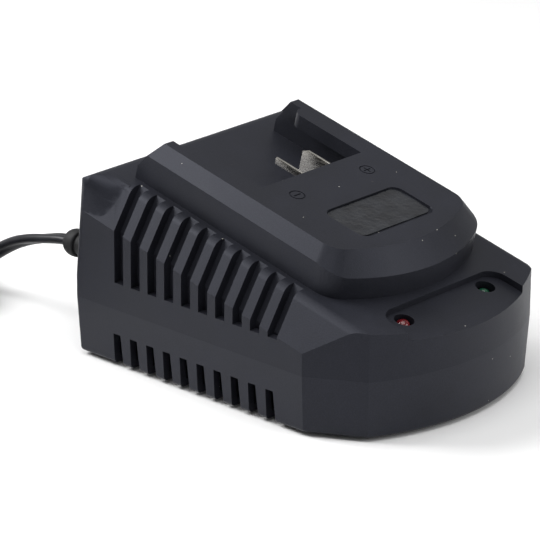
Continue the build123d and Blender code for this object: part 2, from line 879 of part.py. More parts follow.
def make_transformer_core():
    """Two E-shaped halves glued together: three upright legs between two yokes."""
    body = box(-core_width / 2, core_width / 2, -core_depth / 2, core_depth / 2, 0, core_height)
    for side in (-1, 1):
        near = core_leg / 2
        x0, x1 = sorted((side * near, side * (near + core_window)))
        body -= box(x0, x1, -core_depth, core_depth, core_yoke, core_height - core_yoke)
    return in_transformer(body)


def winding_sizes():
    inner_x = core_leg / 2 + fit + bobbin_wall
    inner_y = core_depth / 2 + fit + bobbin_wall
    return inner_x, inner_y


def make_transformer_bobbin():
    """Tube round the middle leg, two flanges, and two rails that stand on the board."""
    inner_x, inner_y = winding_sizes()
    low = core_yoke + fit
    high = core_height - core_yoke - fit
    reach_x = core_leg / 2 + core_window - fit
    reach_y = inner_y + winding_build + bobbin_wall / 2
    tube = box(-inner_x, inner_x, -inner_y, inner_y, low, high)
    flange_low = box(-reach_x, reach_x, -reach_y, reach_y, low, low + bobbin_wall)
    flange_high = box(-reach_x, reach_x, -reach_y, reach_y, high - bobbin_wall, high)
    body = tube + flange_low + flange_high
    for side in (-1, 1):
        y0, y1 = sorted((side * reach_y, side * (reach_y - bobbin_rail)))
        body += box(-reach_x, reach_x, y0, y1, -bobbin_lift, low + bobbin_wall / 2)
    hole_x = core_leg / 2 + fit
    hole_y = core_depth / 2 + fit
    return in_transformer(body - box(-hole_x, hole_x, -hole_y, hole_y, -far, far))


def make_transformer_winding():
    inner_x, inner_y = winding_sizes()
    low = core_yoke + fit + bobbin_wall + fit
    high = core_height - core_yoke - fit - bobbin_wall - fit
    body = box(-inner_x - winding_build, inner_x + winding_build, -inner_y - winding_build,
               inner_y + winding_build, low, high)
    body = fillet(body.edges().filter_by(Axis.Z), winding_build / 2)
    gap = fit / 2
    return in_transformer(body - box(-inner_x - gap, inner_x + gap, -inner_y - gap, inner_y + gap,
                                     -far, far))


def standing_can(diameter, height, x, y):
    """Electrolytic capacitor standing on the board."""
    body = rod(diameter, board_top, board_top + height, x, y)
    return fillet(body.edges().sort_by(Axis.Z)[-1], diameter / 16)


def make_output_capacitors():
    return group(standing_can(output_diameter, output_height, x, y) for x, y in output_places)


def make_x_capacitor():
    body = box(x_cap_x - x_cap_length / 2, x_cap_x + x_cap_length / 2, x_cap_y - x_cap_width / 2,
               x_cap_y + x_cap_width / 2, board_top, board_top + x_cap_height)
    return fillet(body.edges().filter_by(Axis.Z), fit * 5)


def filter_centre():
    return Pos(filter_x, filter_y, board_top + filter_outer / 2 + filter_winding) * Rot(90, 0, 0)


def make_line_filter_core():
    ring = Cylinder(filter_outer / 2, filter_width) - Cylinder(filter_inner / 2, filter_width * 2)
    return filter_centre() * ring


def make_line_filter_windings():
    """Two windings, one on each half of the ring core."""
    halves = []
    for side in (-1, 1):
        full = (Cylinder(filter_outer / 2 + filter_winding, filter_width + 2 * filter_winding)
                - Cylinder(filter_inner / 2 - filter_winding, filter_width * 3))
        x0, x1 = sorted((side * filter_gap / 2, side * far))
        half = full & box(x0, x1, -far, far, -far, far)
        gap = fit / 2
        half -= (Cylinder(filter_outer / 2 + gap, filter_width + 2 * gap)
                 - Cylinder(filter_inner / 2 - gap, filter_width * 2))
        halves.append(filter_centre() * half)
    return group(halves)


def make_fuse():
    z = board_top + fuse_lift + fuse_diameter / 2
    y0, y1 = fuse_y - fuse_length / 2, fuse_y + fuse_length / 2
    body = rod_y(fuse_diameter, y0, y1, fuse_x, z)
    half = leg_thickness / 2
    for y, out in ((y0, -1), (y1, 1)):
        a, b = sorted((y, y + out * 1.5))
        body += box(fuse_x - half, fuse_x + half, a, b, z - half, z + half)
        a, b = sorted((y + out * 1.5, y + out * (1.5 + leg_thickness)))
        body += box(fuse_x - half, fuse_x + half, a, b, board_top, z + half)
    return body


def legs(x, y, offsets, lift):
    """Thin legs under a part that stands above the board."""
    half = leg_thickness / 2
    return [box(x + d - half, x + d + half, y - half, y + half, board_top, board_top + lift + half)
            for d in offsets]


def make_varistor():
    z = board_top + varistor_lift + varistor_diameter / 2
    body = rod_y(varistor_diameter, varistor_y - varistor_thickness / 2,
                 varistor_y + varistor_thickness / 2, varistor_x, z)
    body = fillet(body.edges().filter_by(GeomType.CIRCLE), varistor_thickness / 4)
    for leg in legs(varistor_x, varistor_y, (-leg_spacing, leg_spacing), varistor_lift + 2.5):
        body += leg
    return body


def make_bridge_rectifier():
    z = board_top + bridge_lift
    body = box(bridge_x - bridge_length / 2, bridge_x + bridge_length / 2, bridge_y - bridge_width / 2,
               bridge_y + bridge_width / 2, z, z + bridge_height)
    offsets = [(k - 1.5) * 2 * leg_spacing * 0.75 for k in range(4)]
    for leg in legs(bridge_x, bridge_y, offsets, bridge_lift):
        body += leg
    return body


def make_package(y):
    """Power transistor or diode, flat against the heat sink."""
    x1 = sink_x - fit
    x0 = x1 - package_thickness
    z = board_top + package_lift
    body = box(x0, x1, y - package_width / 2, y + package_width / 2, z, z + package_height)
    x = (x0 + x1) / 2
    half = leg_thickness / 2
    for k in (-1, 0, 1):
        body += box(x - half, x + half, y + k * leg_spacing - half, y + k * leg_spacing + half,
                    board_top, z + half)
    return body


def make_heat_sink():
    y0, y1 = sink_y - sink_length / 2, sink_y + sink_length / 2
    body = box(sink_x, sink_x + sink_plate, y0, y1, board_top, board_top + sink_height)
    step = (sink_length - sink_fin) / (sink_fin_count - 1)
    for k in range(sink_fin_count):
        a = y0 + k * step
        body += box(sink_x + sink_plate / 2, sink_x + sink_plate + sink_fin_length, a, a + sink_fin,
                    board_top, board_top + sink_height)
    return body


def small_chip(x, y, length, width, height):
    """Small chip on bent legs, drawn as a block with a row of legs on each side."""
    body = box(x - length / 2, x + length / 2, y - width / 2, y + width / 2,
               board_top + leg_thickness, board_top + height)
    count = int(length / leg_spacing)
    for k in range(count):
        a = x + (k - (count - 1) / 2) * leg_spacing
        half = leg_thickness / 2
        body += box(a - half, a + half, y - width / 2 - leg_thickness, y + width / 2 + leg_thickness,
                    board_top, board_top + height / 2)
    return body


# ---------------------------------------------------------------- mains entry

def clamp_top():
    return relief_z + cord_width / 2 + clamp_cover


def make_strain_relief():
    """Rubber sleeve: inner flange, neck in the wall, and a ribbed tail outside."""
    outer_y = half_length + crease_bulge
    flange_y = rear_inner_y - relief_clearance
    end_y = outer_y + relief_length
    body = rod_y(relief_flange, flange_y - relief_flange_length, flange_y, relief_x, relief_z)
    body += rod_y(relief_neck, flange_y, outer_y, relief_x, relief_z)
    tail = rod_y(relief_core, outer_y, end_y, relief_x, relief_z)
    body += fillet(tail.edges().sort_by(Axis.Y)[-1], relief_edge)
    for k in range(relief_ring_count):
        start = outer_y + k * (relief_ring + relief_gap)
        size = relief_diameter - k * relief_taper
        ring = rod_y(size, start, start + relief_ring, relief_x, relief_z)
        body += fillet(ring.edges().filter_by(GeomType.CIRCLE), relief_edge)
    bore = rod_y(cord_width + 2 * cord_clearance, 0, far, relief_x, relief_z)
    return body - bore


def relief_end():
    return half_length + crease_bulge + relief_length


def make_cord_inner():
    return rod_y(cord_width, cord_inside, relief_end(), relief_x, relief_z)


def make_cord_clamp():
    """Bar over the cord, screwed down onto its saddle."""
    half = clamp_width / 2
    low = relief_z - cord_width / 2
    body = box(relief_x - half, relief_x + half, clamp_y - clamp_length / 2,
               clamp_y + clamp_length / 2, low, clamp_top())
    channel = cord_width / 2 + cord_clearance
    body -= box(relief_x - channel, relief_x + channel, -far, far, low - 1,
                relief_z + cord_width / 2 + cord_clearance)
    for side in (-1, 1):
        body -= rod(board_screw_hole, low - 1, clamp_top() + 1, relief_x + side * clamp_screw_x, clamp_y)
    return body


def make_cord_clamp_screws():
    shape = Rot(180, 0, 0) * screw(board_screw_diameter, board_screw_head, board_screw_head_height,
                                   clamp_screw_length)
    return group(Pos(relief_x + side * clamp_screw_x, clamp_y, clamp_top()) * shape
                 for side in (-1, 1))


def make_mains_wires():
    wires = []
    for side, pad_x in zip((-1, 1), mains_pad_x):
        x = relief_x + side * mains_wire_spacing / 2
        points = [(x, cord_inside, relief_z), (x, mains_pad_y + 5, relief_z),
                  (pad_x, mains_pad_y, relief_z - 5.5), (pad_x, mains_pad_y, board_top)]
        wires.append(wire_rod(points, wire_diameter, wire_bend))
    return group(wires)


# ---------------------------------------------------------------- cord, coil and plug

def cord_radii(points):
    """A radius for each corner: as large as its two runs leave room for."""
    radii = []
    for a, b, c in zip(points, points[1:], points[2:]):
        before = Vector(*b) - Vector(*a)
        after = Vector(*c) - Vector(*b)
        half_turn = radians(before.get_angle(after)) / 2
        radii.append(0.45 * min(before.length, after.length) / tan(half_turn))
    return radii


def cord_tube(points, name):
    radii = cord_radii(points)
    path = FilletPolyline(*points, radius=radii)
    tube = sweep(Plane(origin=path @ 0, z_dir=path % 0) * Circle(cord_width / 2), path=path)
    print(name, "radii", [round(r, 1) for r in radii],
          "volume ratio", round(tube.volume / (pi * cord_width**2 / 4 * path.length), 4))
    return tube


def coil_radii():
    half = coil_columns * cord_width / 2
    return coil_mean_diameter / 2 - half, coil_mean_diameter / 2 + half


def coil_height():
    return coil_rows * cord_width


def make_coil_ring():
    inner, outer = coil_radii()
    ring = Cylinder(outer, coil_height()) - Cylinder(inner, far)
    return Pos(coil_x, coil_y, coil_height() / 2) * ring


def tie_spans():
    """Inner faces of the tie, across the coil on its far side."""
    inner, outer = coil_radii()
    near_x = coil_x - sqrt(inner**2 - tie_width**2 / 4) + cord_clearance
    return coil_x - outer - cord_clearance, near_x


def make_cord_coil():
    x0, x1 = tie_spans()
    notch = box(x0 - 1, x1 + 1, coil_y - tie_width / 2 - cord_clearance,
                coil_y + tie_width / 2 + cord_clearance, -1, tie_thickness + cord_clearance)
    return make_coil_ring() - notch


def make_coil_tie():
    x0, x1 = tie_spans()
    t = tie_thickness
    y0, y1 = coil_y - tie_width / 2, coil_y + tie_width / 2
    top = coil_height() + cord_clearance
    return box(x0 - t, x1 + t, y0, y1, 0, top + t) - box(x0, x1, -far, far, t, top)


def make_mains_cord():
    points = [(relief_x, relief_end(), relief_z)] + cord_route
    points.append((coil_x + coil_radii()[1] - cord_width / 2, coil_y, cord_width / 2))
    tube = cord_tube(points, "mains_cord") - make_coil_ring()
    return tube & box(-far, far, relief_end(), coil_y - coil_entry, -far, far)


def make_cord_tail():
    points = [tail_start + (coil_height() - cord_width / 2,)] + tail_route
    points.append((plug_x, plug_y, coil_height() + plug_height / 2))
    tube = cord_tube(points, "cord_tail") - make_coil_ring()
    return tube & box(-far, far, plug_y, far, -far, far)


def in_plug(shape):
    """Lay a shape, drawn with the plug's neck at the origin and its pins to +Y, on the coil."""
    return Pos(plug_x, plug_y, coil_height()) * Rot(0, 0, 180) * shape


def make_plug_body():
    """Flat two-pin plug body with a round neck towards its cord."""
    y0 = plug_neck_length
    half = plug_width / 2
    waist = half * 0.6
    with BuildSketch() as plan:
        Polygon((-waist, y0), (waist, y0), (half, y0 + plug_shoulder), (half, y0 + plug_length),
                (-half, y0 + plug_length), (-half, y0 + plug_shoulder), align=None)
        fillet(plan.vertices().group_by(Axis.Y)[1], plug_corner_radius)
        fillet(plan.vertices().group_by(Axis.Y)[0], plug_corner_radius / 2)
    body = extrude(plan.sketch, plug_height)
    body = fillet(body.faces().sort_by(Axis.Z)[-1].edges() + body.faces().sort_by(Axis.Z)[0].edges(),
                  plug_corner_radius / 2.5)
    neck = rod_y(plug_neck, 0, y0 + plug_shoulder / 2, 0, plug_height / 2)
    return in_plug(body + neck)


def make_plug_pins():
    y0 = plug_neck_length + plug_length
    pins = []
    for side in (-1, 1):
        pin = rod_y(plug_pin_diameter, y0, y0 + plug_pin_length, side * plug_pin_spacing / 2,
                    plug_height / 2)
        pins.append(in_plug(fillet(pin.edges().sort_by(Axis.Y)[-1], plug_pin_diameter / 4)))
    return group(pins)


# ---------------------------------------------------------------- write every piece
parts = {
    "top_case": make_top_case(),
    "bottom_case": make_bottom_case(),
    "rubber_feet": make_rubber_feet(),
    "case_screws": make_case_screws(),
    "badge_plate": make_badge_plate(),
    "led_red": make_lamp(-1, lamp_sink_red),
    "led_green": make_lamp(1, lamp_sink_green),
    "lamp_board": make_lamp_board(),
    "lamp_board_screws": make_lamp_board_screws(),
    "lamp_wires": make_lamp_wires(),
    "terminal_negative": make_terminal_negative(),
    "terminal_positive": make_terminal_positive(),
    "terminal_block": make_terminal_block(),
    "battery_wires": make_battery_wires(),
    "main_pcb": make_main_pcb(),
    "pcb_screws": make_pcb_screws(),
    "transformer_core": make_transformer_core(),
    "transformer_bobbin": make_transformer_bobbin(),
    "transformer_winding": make_transformer_winding(),
    "primary_capacitor": standing_can(primary_diameter, primary_height, primary_x, primary_y),
    "output_capacitors": make_output_capacitors(),
    "x_capacitor": make_x_capacitor(),
    "line_filter_core": make_line_filter_core(),
    "line_filter_windings": make_line_filter_windings(),
    "fuse": make_fuse(),
    "varistor": make_varistor(),
    "bridge_rectifier": make_bridge_rectifier(),
    "mosfet": make_package(mosfet_y),
    "output_diode": make_package(diode_y),
    "heat_sink": make_heat_sink(),
    "controller_chip": small_chip(chip_x, chip_y, chip_length, chip_width, chip_height),
    "optocoupler": small_chip(coupler_x, coupler_y, coupler_length, coupler_width, coupler_height),
    "mains_wires": make_mains_wires(),
    "cord_clamp": make_cord_clamp(),
    "cord_clamp_screws": make_cord_clamp_screws(),
    "cord_inner": make_cord_inner(),
    "strain_relief": make_strain_relief(),
    "mains_cord": make_mains_cord(),
    "cord_coil": make_cord_coil(),
    "coil_tie": make_coil_tie(),
    "cord_tail": make_cord_tail(),
    "plug_body": make_plug_body(),
    "plug_pins": make_plug_pins(),
}

os.makedirs("parts", exist_ok=True)
for name, shape in parts.items():
    export_step(shape, os.path.join("parts", name + ".step"))
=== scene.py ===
# %% [markdown]
# # A bench charger for a slide-on tool battery
# The charger is a two-part plastic case with a battery dock on its sloping top.  Its exact
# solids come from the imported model, and this file gives them their finish: the rounded
# edges of a moulding, its textured skin, the bright contacts, the lamps, and the cord.
# Everything is in metres, with +Z up, the nose at -Y and the cord at +Y.

from math import cos, pi, radians, sin, sqrt

import bmesh
import bpy
from mathutils import Matrix, Vector


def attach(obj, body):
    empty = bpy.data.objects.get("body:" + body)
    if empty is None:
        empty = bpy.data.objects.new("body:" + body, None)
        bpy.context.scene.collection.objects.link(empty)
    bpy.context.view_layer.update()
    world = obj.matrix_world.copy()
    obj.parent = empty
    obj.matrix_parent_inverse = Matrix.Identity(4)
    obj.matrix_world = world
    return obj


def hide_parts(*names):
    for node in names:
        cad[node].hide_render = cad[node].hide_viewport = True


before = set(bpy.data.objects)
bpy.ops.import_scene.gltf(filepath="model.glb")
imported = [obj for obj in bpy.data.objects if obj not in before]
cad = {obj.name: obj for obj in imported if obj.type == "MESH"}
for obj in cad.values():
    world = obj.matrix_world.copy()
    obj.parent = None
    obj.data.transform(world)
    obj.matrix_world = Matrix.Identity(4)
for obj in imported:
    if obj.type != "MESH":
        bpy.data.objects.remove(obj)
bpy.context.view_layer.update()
print("solids:", len(cad))

# %% [markdown]
# Lengths on the drawing are in millimetres, and one short function turns them into metres.
# The dock has a frame of its own, tilted like the sloping top: a piece for it is modelled
# flat and is then laid onto the slope.

# %% Millimetres, and the dock's own frame
MM = 0.001
SLOPE = radians(13.4)
DOCK_Y, DOCK_Z = 9.1, 51.7      # where the recess's front wall meets the sloping top
DOCK = Matrix.Translation((0, DOCK_Y * MM, DOCK_Z * MM)) @ Matrix.Rotation(SLOPE, 4, "X")
print("dock slope in degrees:", round(SLOPE * 180 / pi, 1))


def mm(*numbers):
    """Millimetres to metres, as a tuple."""
    return tuple(n * MM for n in numbers)


def onto_slope(piece):
    """Lays a piece that was modelled flat onto the charger's sloping top."""
    piece.data.transform(DOCK)
    return piece

# %% [markdown]
# Blender's operators act on whatever is selected, so each step starts from an empty
# selection.  A new primitive gets its place and size put into its mesh at once, so that
# its object stays at the origin.

# %% Selecting, and adding a primitive

def select_nothing():
    if bpy.context.mode != "OBJECT":
        bpy.ops.object.mode_set(mode="OBJECT")
    bpy.ops.object.select_all(action="DESELECT")


def only(piece):
    """Selects one object and makes it the active one."""
    select_nothing()
    piece.select_set(True)
    bpy.context.view_layer.objects.active = piece
    return piece


def primitive(kind, name, **settings):
    """Adds one of Blender's mesh primitives, and puts its place and size into its mesh."""
    select_nothing()
    getattr(bpy.ops.mesh, "primitive_" + kind + "_add")(**settings)
    piece = bpy.context.object
    piece.name = name
    bpy.ops.object.transform_apply(location=True, rotation=True, scale=True)
    return piece


def block(name, low, high):
    """A box between two corners, given in millimetres."""
    middle = [(a + b) / 2 for a, b in zip(low, high)]
    size = [b - a for a, b in zip(low, high)]
    return primitive("cube", name, size=1, location=mm(*middle), scale=mm(*size))

# %% [markdown]
# In edit mode the faces or edges to change are picked in code, by their place or their
# direction, as a maker would click on them.  Modifiers are set and applied at once, so the
# mesh holds what is seen.

# %% Editing, and finishing with modifiers

def start_editing(piece):
    only(piece)
    bpy.ops.object.mode_set(mode="EDIT")


def done_editing():
    bpy.ops.object.mode_set(mode="OBJECT")


def choose(piece, kind, test):
    """Selects the faces, edges or vertices whose middle, in millimetres, passes a test."""
    start_editing(piece)
    mode = {"faces": "FACE", "edges": "EDGE", "verts": "VERT"}[kind]
    bpy.ops.mesh.select_mode(type=mode)
    bpy.ops.mesh.select_all(action="DESELECT")
    mesh = bmesh.from_edit_mesh(piece.data)
    for item in getattr(mesh, kind):
        if kind == "verts":
            middle = item.co
        elif kind == "edges":
            middle = (item.verts[0].co + item.verts[1].co) / 2
        else:
            middle = item.calc_center_median()
        if test(item, middle / MM):
            item.select_set(True)
    mesh.select_flush_mode()
    bmesh.update_edit_mesh(piece.data)
    return piece


def modify(piece, kind, **settings):
    """Adds a modifier, sets it, and applies it."""
    only(piece)
    modifier = piece.modifiers.new(kind.title(), kind)
    for key, value in settings.items():
        setattr(modifier, key, value)
    bpy.ops.object.modifier_apply(modifier=modifier.name)
    return piece


def smooth(piece, degrees):
    """Smooth shading, with edges sharper than an angle kept crisp."""
    only(piece)
    bpy.ops.object.shade_smooth_by_angle(angle=radians(degrees))
    return piece

# %% [markdown]
# The solids' edges are perfectly sharp, and nothing that comes out of a mould is.  A copy
# of each shell is cleaned of the triangles that the file format made, and a bevel of a few
# tenths of a millimetre then rounds every edge.  That thin bright line along the edges is
# what makes plastic look moulded.  Faces that are flat up to their sharp edges are marked
# before the bevel and keep flat shading, so that no shade drifts across them, and the
# weighted normals let the rounded edges run into them.

# %% Rounded copies of the two shells
MERGE_WITHIN = 0.002 * MM
SAME_PLANE = radians(0.6)       # triangles that differ by less are one face
STILL_FLAT = radians(0.8)
SHARP_EDGE = radians(28)
CURVED, FLAT = 0, 1             # material slots that mark the faces until they are dressed
FACE_MARKS = [bpy.data.materials.new(mark) for mark in ("curved", "flat")]


def mark_flat_faces(piece):
    """Marks the faces whose every edge is either level or sharp."""
    for mark in FACE_MARKS:
        piece.data.materials.append(mark)
    mesh = bmesh.new()
    mesh.from_mesh(piece.data)
    for face in mesh.faces:
        bends = [edge.calc_face_angle(0) for edge in face.edges]
        level = all(bend < STILL_FLAT or bend > SHARP_EDGE for bend in bends)
        face.material_index = FLAT if level else CURVED
    mesh.to_mesh(piece.data)
    mesh.free()


def moulded_copy(node, name, radius):
    """A cleaned copy of a solid, with all its sharp edges rounded."""
    piece = bpy.data.objects.new(name, cad[node].data.copy())
    bpy.context.scene.collection.objects.link(piece)
    start_editing(piece)
    bpy.ops.mesh.select_all(action="SELECT")
    bpy.ops.mesh.remove_doubles(threshold=MERGE_WITHIN)
    bpy.ops.mesh.dissolve_limited(angle_limit=SAME_PLANE)
    done_editing()
    before = len(piece.data.polygons)
    mark_flat_faces(piece)
    modify(piece, "BEVEL", width=radius * MM, segments=2, limit_method="ANGLE",
           angle_limit=SHARP_EDGE, use_clamp_overlap=True, material=CURVED)
    smooth(piece, 40)
    for face in piece.data.polygons:
        face.use_smooth = face.material_index == CURVED
    modify(piece, "WEIGHTED_NORMAL", keep_sharp=True, weight=100)
    print(name, "faces", before, "->", len(piece.data.polygons))
    return piece

# %% [markdown]
# The camera stands in front and to the left, a little above the charger, far away and with
# a long lens, so that the case's sides stay almost parallel.  It comes first, because the
# spare length of cord has to lie where this view doesn't reach.

# %% Camera
AZIMUTH, ELEVATION, ROLL = radians(-47.39), radians(20.90), radians(0.39)
DISTANCE, ACROSS, UPWARD = 1125.97, -10.58, 27.18       # millimetres from the aim
AIM = Vector((0.0, 9.35, 1.2))
FOCAL_PIXELS, FRAME_PIXELS, SENSOR = 3419.92, 540.0, 36.0

back = Vector((sin(AZIMUTH) * cos(ELEVATION), -cos(AZIMUTH) * cos(ELEVATION), sin(ELEVATION)))
right = Vector((cos(AZIMUTH), sin(AZIMUTH), 0.0))
up = back.cross(right)
right, up = right * cos(ROLL) + up * sin(ROLL), up * cos(ROLL) - right * sin(ROLL)
place = (back * DISTANCE + right * ACROSS + up * UPWARD + AIM) * MM

bpy.ops.object.camera_add(location=place)
camera = bpy.context.object
camera.name = "camera"
camera.matrix_world = Matrix.Translation(place) @ Matrix((right, up, back)).transposed().to_4x4()
camera.data.sensor_width = SENSOR
camera.data.lens = FOCAL_PIXELS / FRAME_PIXELS * SENSOR
camera.data.clip_start, camera.data.clip_end = 0.05, 20.0
bpy.context.scene.camera = camera
print("lens in mm:", round(camera.data.lens, 1))

# %% [markdown]
# A finish in Blender is a small net of nodes.  Colours are written as they are picked on a
# screen, so one function turns them into the linear values that a shader works with, and
# another adds a node, sets its numbers, and links its sockets.

# %% Colours and nodes

def linear(code, alpha=1.0):
    """An sRGB hex colour as linear red, green, blue and alpha."""
    parts = [int(code[i:i + 2], 16) / 255 for i in (1, 3, 5)]
    return tuple(c / 12.92 if c <= 0.04045 else ((c + 0.055) / 1.055) ** 2.4
                 for c in parts) + (alpha,)


def per(size):
    """The texture scale at which one spot of a pattern is this many millimetres wide."""
    return 1 / (size * MM)


def add(tree, kind, settings=None, links=None):
    """Adds a node.  Settings name sockets, properties or a ramp's stops; links fill sockets."""
    new = tree.nodes.new("ShaderNode" + kind)
    for key, value in (settings or {}).items():
        if key == "stops":
            ramp = new.color_ramp.elements
            while len(ramp) < len(value):
                ramp.new(0.5)
            for stop, (position, code) in zip(ramp, value):
                stop.position, stop.color = position, linear(code)
        elif isinstance(key, int) or key in new.inputs:
            new.inputs[key].default_value = value
        else:
            setattr(new, key, value)
    for key, (source, output) in (links or {}).items():
        tree.links.new(source.outputs[output], new.inputs[key])
    return new


def new_material(name, **settings):
    """An empty material with its surface shader, whose constant numbers are set here."""
    material = bpy.data.materials.new(name)
    material.use_nodes = True
    tree = material.node_tree
    surface = tree.nodes["Principled BSDF"]
    for key, value in settings.items():
        surface.inputs[key.replace("_", " ")].default_value = value
    place = add(tree, "TexCoord")
    return material, tree, surface, place


def feed(tree, surface, **sources):
    """Links nodes to the surface shader, each source given as a node and its output."""
    for key, (source, output) in sources.items():
        tree.links.new(source.outputs[output], surface.inputs[key.replace("_", " ")])

# %% [markdown]
# A finished piece wears one material, rides on the charger's body, and hides the solids
# that it stands for.

# %% Dressing a piece

def dress(piece, material):
    """Gives a piece one material and nothing else."""
    piece.data.materials.clear()
    piece.data.materials.append(material)
    for face in getattr(piece.data, "polygons", []):
        face.material_index = 0
    return piece


def finished(piece, material, slot_name, *nodes):
    """Gives a piece its finish, puts it on the charger's body, and hides the solids that it stands
    for.  The slot name is not used.
    """
    dress(piece, material)
    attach(piece, "root")
    if nodes:
        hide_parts(*nodes)
    return piece

# %% [markdown]
# The case is ABS, moulded in a steel mould whose walls were roughened by sparks.  That
# leaves a skin of tiny pits, so its gloss is broken and its grey looks a little mottled.
# The pits are about 0.2 mm wide; they are drawn twice as wide, or they would be lost
# between the render's pixels.  A few specks of dust lie on it.

# %% Spark-textured ABS
MOTTLE, PIT, PIT_DEPTH = 26, 0.42, 0.05
DUST_CELL, DUST_REACH = 4.2, 0.189


def textured_abs(name, dark, mid, pale, gloss):
    """Dark ABS: a broad soft highlight, broken up by pits, and a slightly bluish shine."""
    material, tree, surface, place = new_material(name, IOR=1.53, Specular_IOR_Level=0.26,
                                                  Specular_Tint=(0.82, 0.85, 1.0, 1.0))
    mottle = add(tree, "TexNoise", {"Scale": per(MOTTLE), "Detail": 4.0, "Roughness": 0.6},
                 {"Vector": (place, "Object")})
    grain = add(tree, "TexNoise", {"Scale": per(PIT), "Detail": 2.0, "Roughness": 0.5},
                {"Vector": (place, "Object")})
    share = add(tree, "Math", {"operation": "MULTIPLY", 1: 0.55}, {0: (mottle, "Fac")})
    blend = add(tree, "Math", {"operation": "MULTIPLY_ADD", 1: 0.45},
                {0: (grain, "Fac"), 2: (share, 0)})
    tone = add(tree, "ValToRGB", {"stops": [(0.3, dark), (0.5, mid), (0.72, pale)]},
               {"Fac": (blend, 0)})
    # Dust: a cell in some forty shows one pale speck, up to 0.4 mm wide.
    cells = add(tree, "TexVoronoi", {"Scale": per(DUST_CELL), "Randomness": 1.0},
                {"Vector": (place, "Object")})
    speck = add(tree, "Math", {"operation": "LESS_THAN", 1: DUST_REACH / DUST_CELL},
                {0: (cells, "Distance")})
    chance = add(tree, "SeparateColor", {}, {"Color": (cells, "Color")})
    few = add(tree, "Math", {"operation": "GREATER_THAN", 1: 0.72}, {0: (chance, "Red")})
    dust = add(tree, "Math", {"operation": "MULTIPLY"}, {0: (speck, 0), 1: (few, 0)})
    dusty = add(tree, "Mix", {"data_type": "RGBA", 7: linear("#B9B6AE")},
                {0: (dust, 0), 6: (tone, "Color")})
    dull = add(tree, "MapRange", {"From Min": 0.3, "From Max": 0.7, "To Min": gloss - 0.05,
                                  "To Max": gloss + 0.06}, {"Value": (mottle, "Fac")})
    pits = add(tree, "Bump", {"Strength": 0.55, "Distance": PIT_DEPTH * MM},
               {"Height": (grain, "Fac")})
    feed(tree, surface, Base_Color=(dusty, 2), Roughness=(dull, 0), Normal=(pits, 0))
    return material


# The lower shell gets a paler copy of the upper shell's finish.
case_abs = textured_abs("spark_textured_abs", "#191A1E", "#1F2026", "#27282F", 0.45)
base_abs = textured_abs("spark_textured_abs_base", "#1F2024", "#26272D", "#2E2F37", 0.45)
print("case finishes:", case_abs.name, base_abs.name)

# %% [markdown]
# Both shells take that finish.  Each rounded copy replaces its solid, which stays in the
# model for collisions.

# %% The two shells
EDGE_RADIUS = 0.35
for node, name, abs_finish in (("top_case", "top_shell", case_abs),
                               ("bottom_case", "bottom_shell", base_abs)):
    finished(moulded_copy(node, name, EDGE_RADIUS), abs_finish, "case_plastic", node)

# %% [markdown]
# Many small pieces are round: feet, screws, lamps, sleeves and pins.  On a lathe they would
# be turned.  Here a ring of points is extruded step by step along its axis and scaled at
# each step, which gives the same shape and lets every step be read off as a radius.

# %% A lathe for round pieces

def turned(name, centre, axis, steps, sides=48, closed_ends=(True, True)):
    """A round piece from (distance along the axis, radius) steps, all in millimetres."""
    along = Vector(axis).normalized()
    spin = Vector((0, 0, 1)).rotation_difference(along)
    start, radius = steps[0]
    origin = Vector(centre)
    piece = primitive("circle", name, vertices=sides, radius=radius * MM,
                      fill_type="NGON" if closed_ends[0] else "NOTHING",
                      location=tuple((origin + along * start) * MM), rotation=spin.to_euler())
    start_editing(piece)
    bpy.ops.mesh.select_mode(type="EDGE")
    bpy.ops.mesh.select_all(action="SELECT")
    here = start
    for distance, wanted in steps[1:]:
        bpy.ops.mesh.extrude_edges_move(
            TRANSFORM_OT_translate={"value": tuple(along * (distance - here) * MM)})
        bpy.ops.transform.resize(value=(wanted / radius,) * 3,
                                 center_override=tuple((origin + along * distance) * MM))
        here, radius = distance, wanted
    if closed_ends[1]:
        bpy.ops.mesh.edge_face_add()
    bpy.ops.mesh.select_all(action="SELECT")
    bpy.ops.mesh.remove_doubles(threshold=0.0005 * MM)
    bpy.ops.mesh.normals_make_consistent(inside=False)
    done_editing()
    return piece


def rounded_step(y0, y1, radius, corner, count=4):
    """The steps of a ring with rounded corners, from y0 to y1."""
    bends = [pi / 2 * i / count for i in range(count + 1)]
    low = [(y0 + corner * (1 - cos(bend)), radius - corner * (1 - sin(bend))) for bend in bends]
    return low + [(y0 + y1 - y, r) for y, r in reversed(low)]

# %% [markdown]
# Feet, screws and pins come in sets.  One is made, and each copy gets its own mesh, so that
# the whole set can be joined into one piece.

# %% Copying a piece

def copies(piece, offsets):
    """Copies of a piece, each with its own mesh, moved by some millimetres and joined."""
    pieces = [piece]
    for offset in offsets[1:]:
        other = piece.copy()
        other.data = piece.data.copy()
        bpy.context.scene.collection.objects.link(other)
        other.data.transform(Matrix.Translation(mm(*offset)))
        pieces.append(other)
    piece.data.transform(Matrix.Translation(mm(*offsets[0])))
    only(piece)
    for other in pieces:
        other.select_set(True)
    bpy.ops.object.join()
    return piece

# %% [markdown]
# The cord.  It is a flat two-core lead, 5.2 mm wide and 3.2 mm thick, which leaves its
# sleeve level, hangs down to the bench and twists upright on the way.  The length that
# isn't needed is wound into a coil of eight turns behind the charger, held by a band, and
# its end runs over the coil into the plug, which lies on it.  The line is one NURBS curve
# whose points are the route.  Each turn lies beside or on the one before, and steps over to
# its place once in the round, a little earlier on each turn, so that no two ever meet.

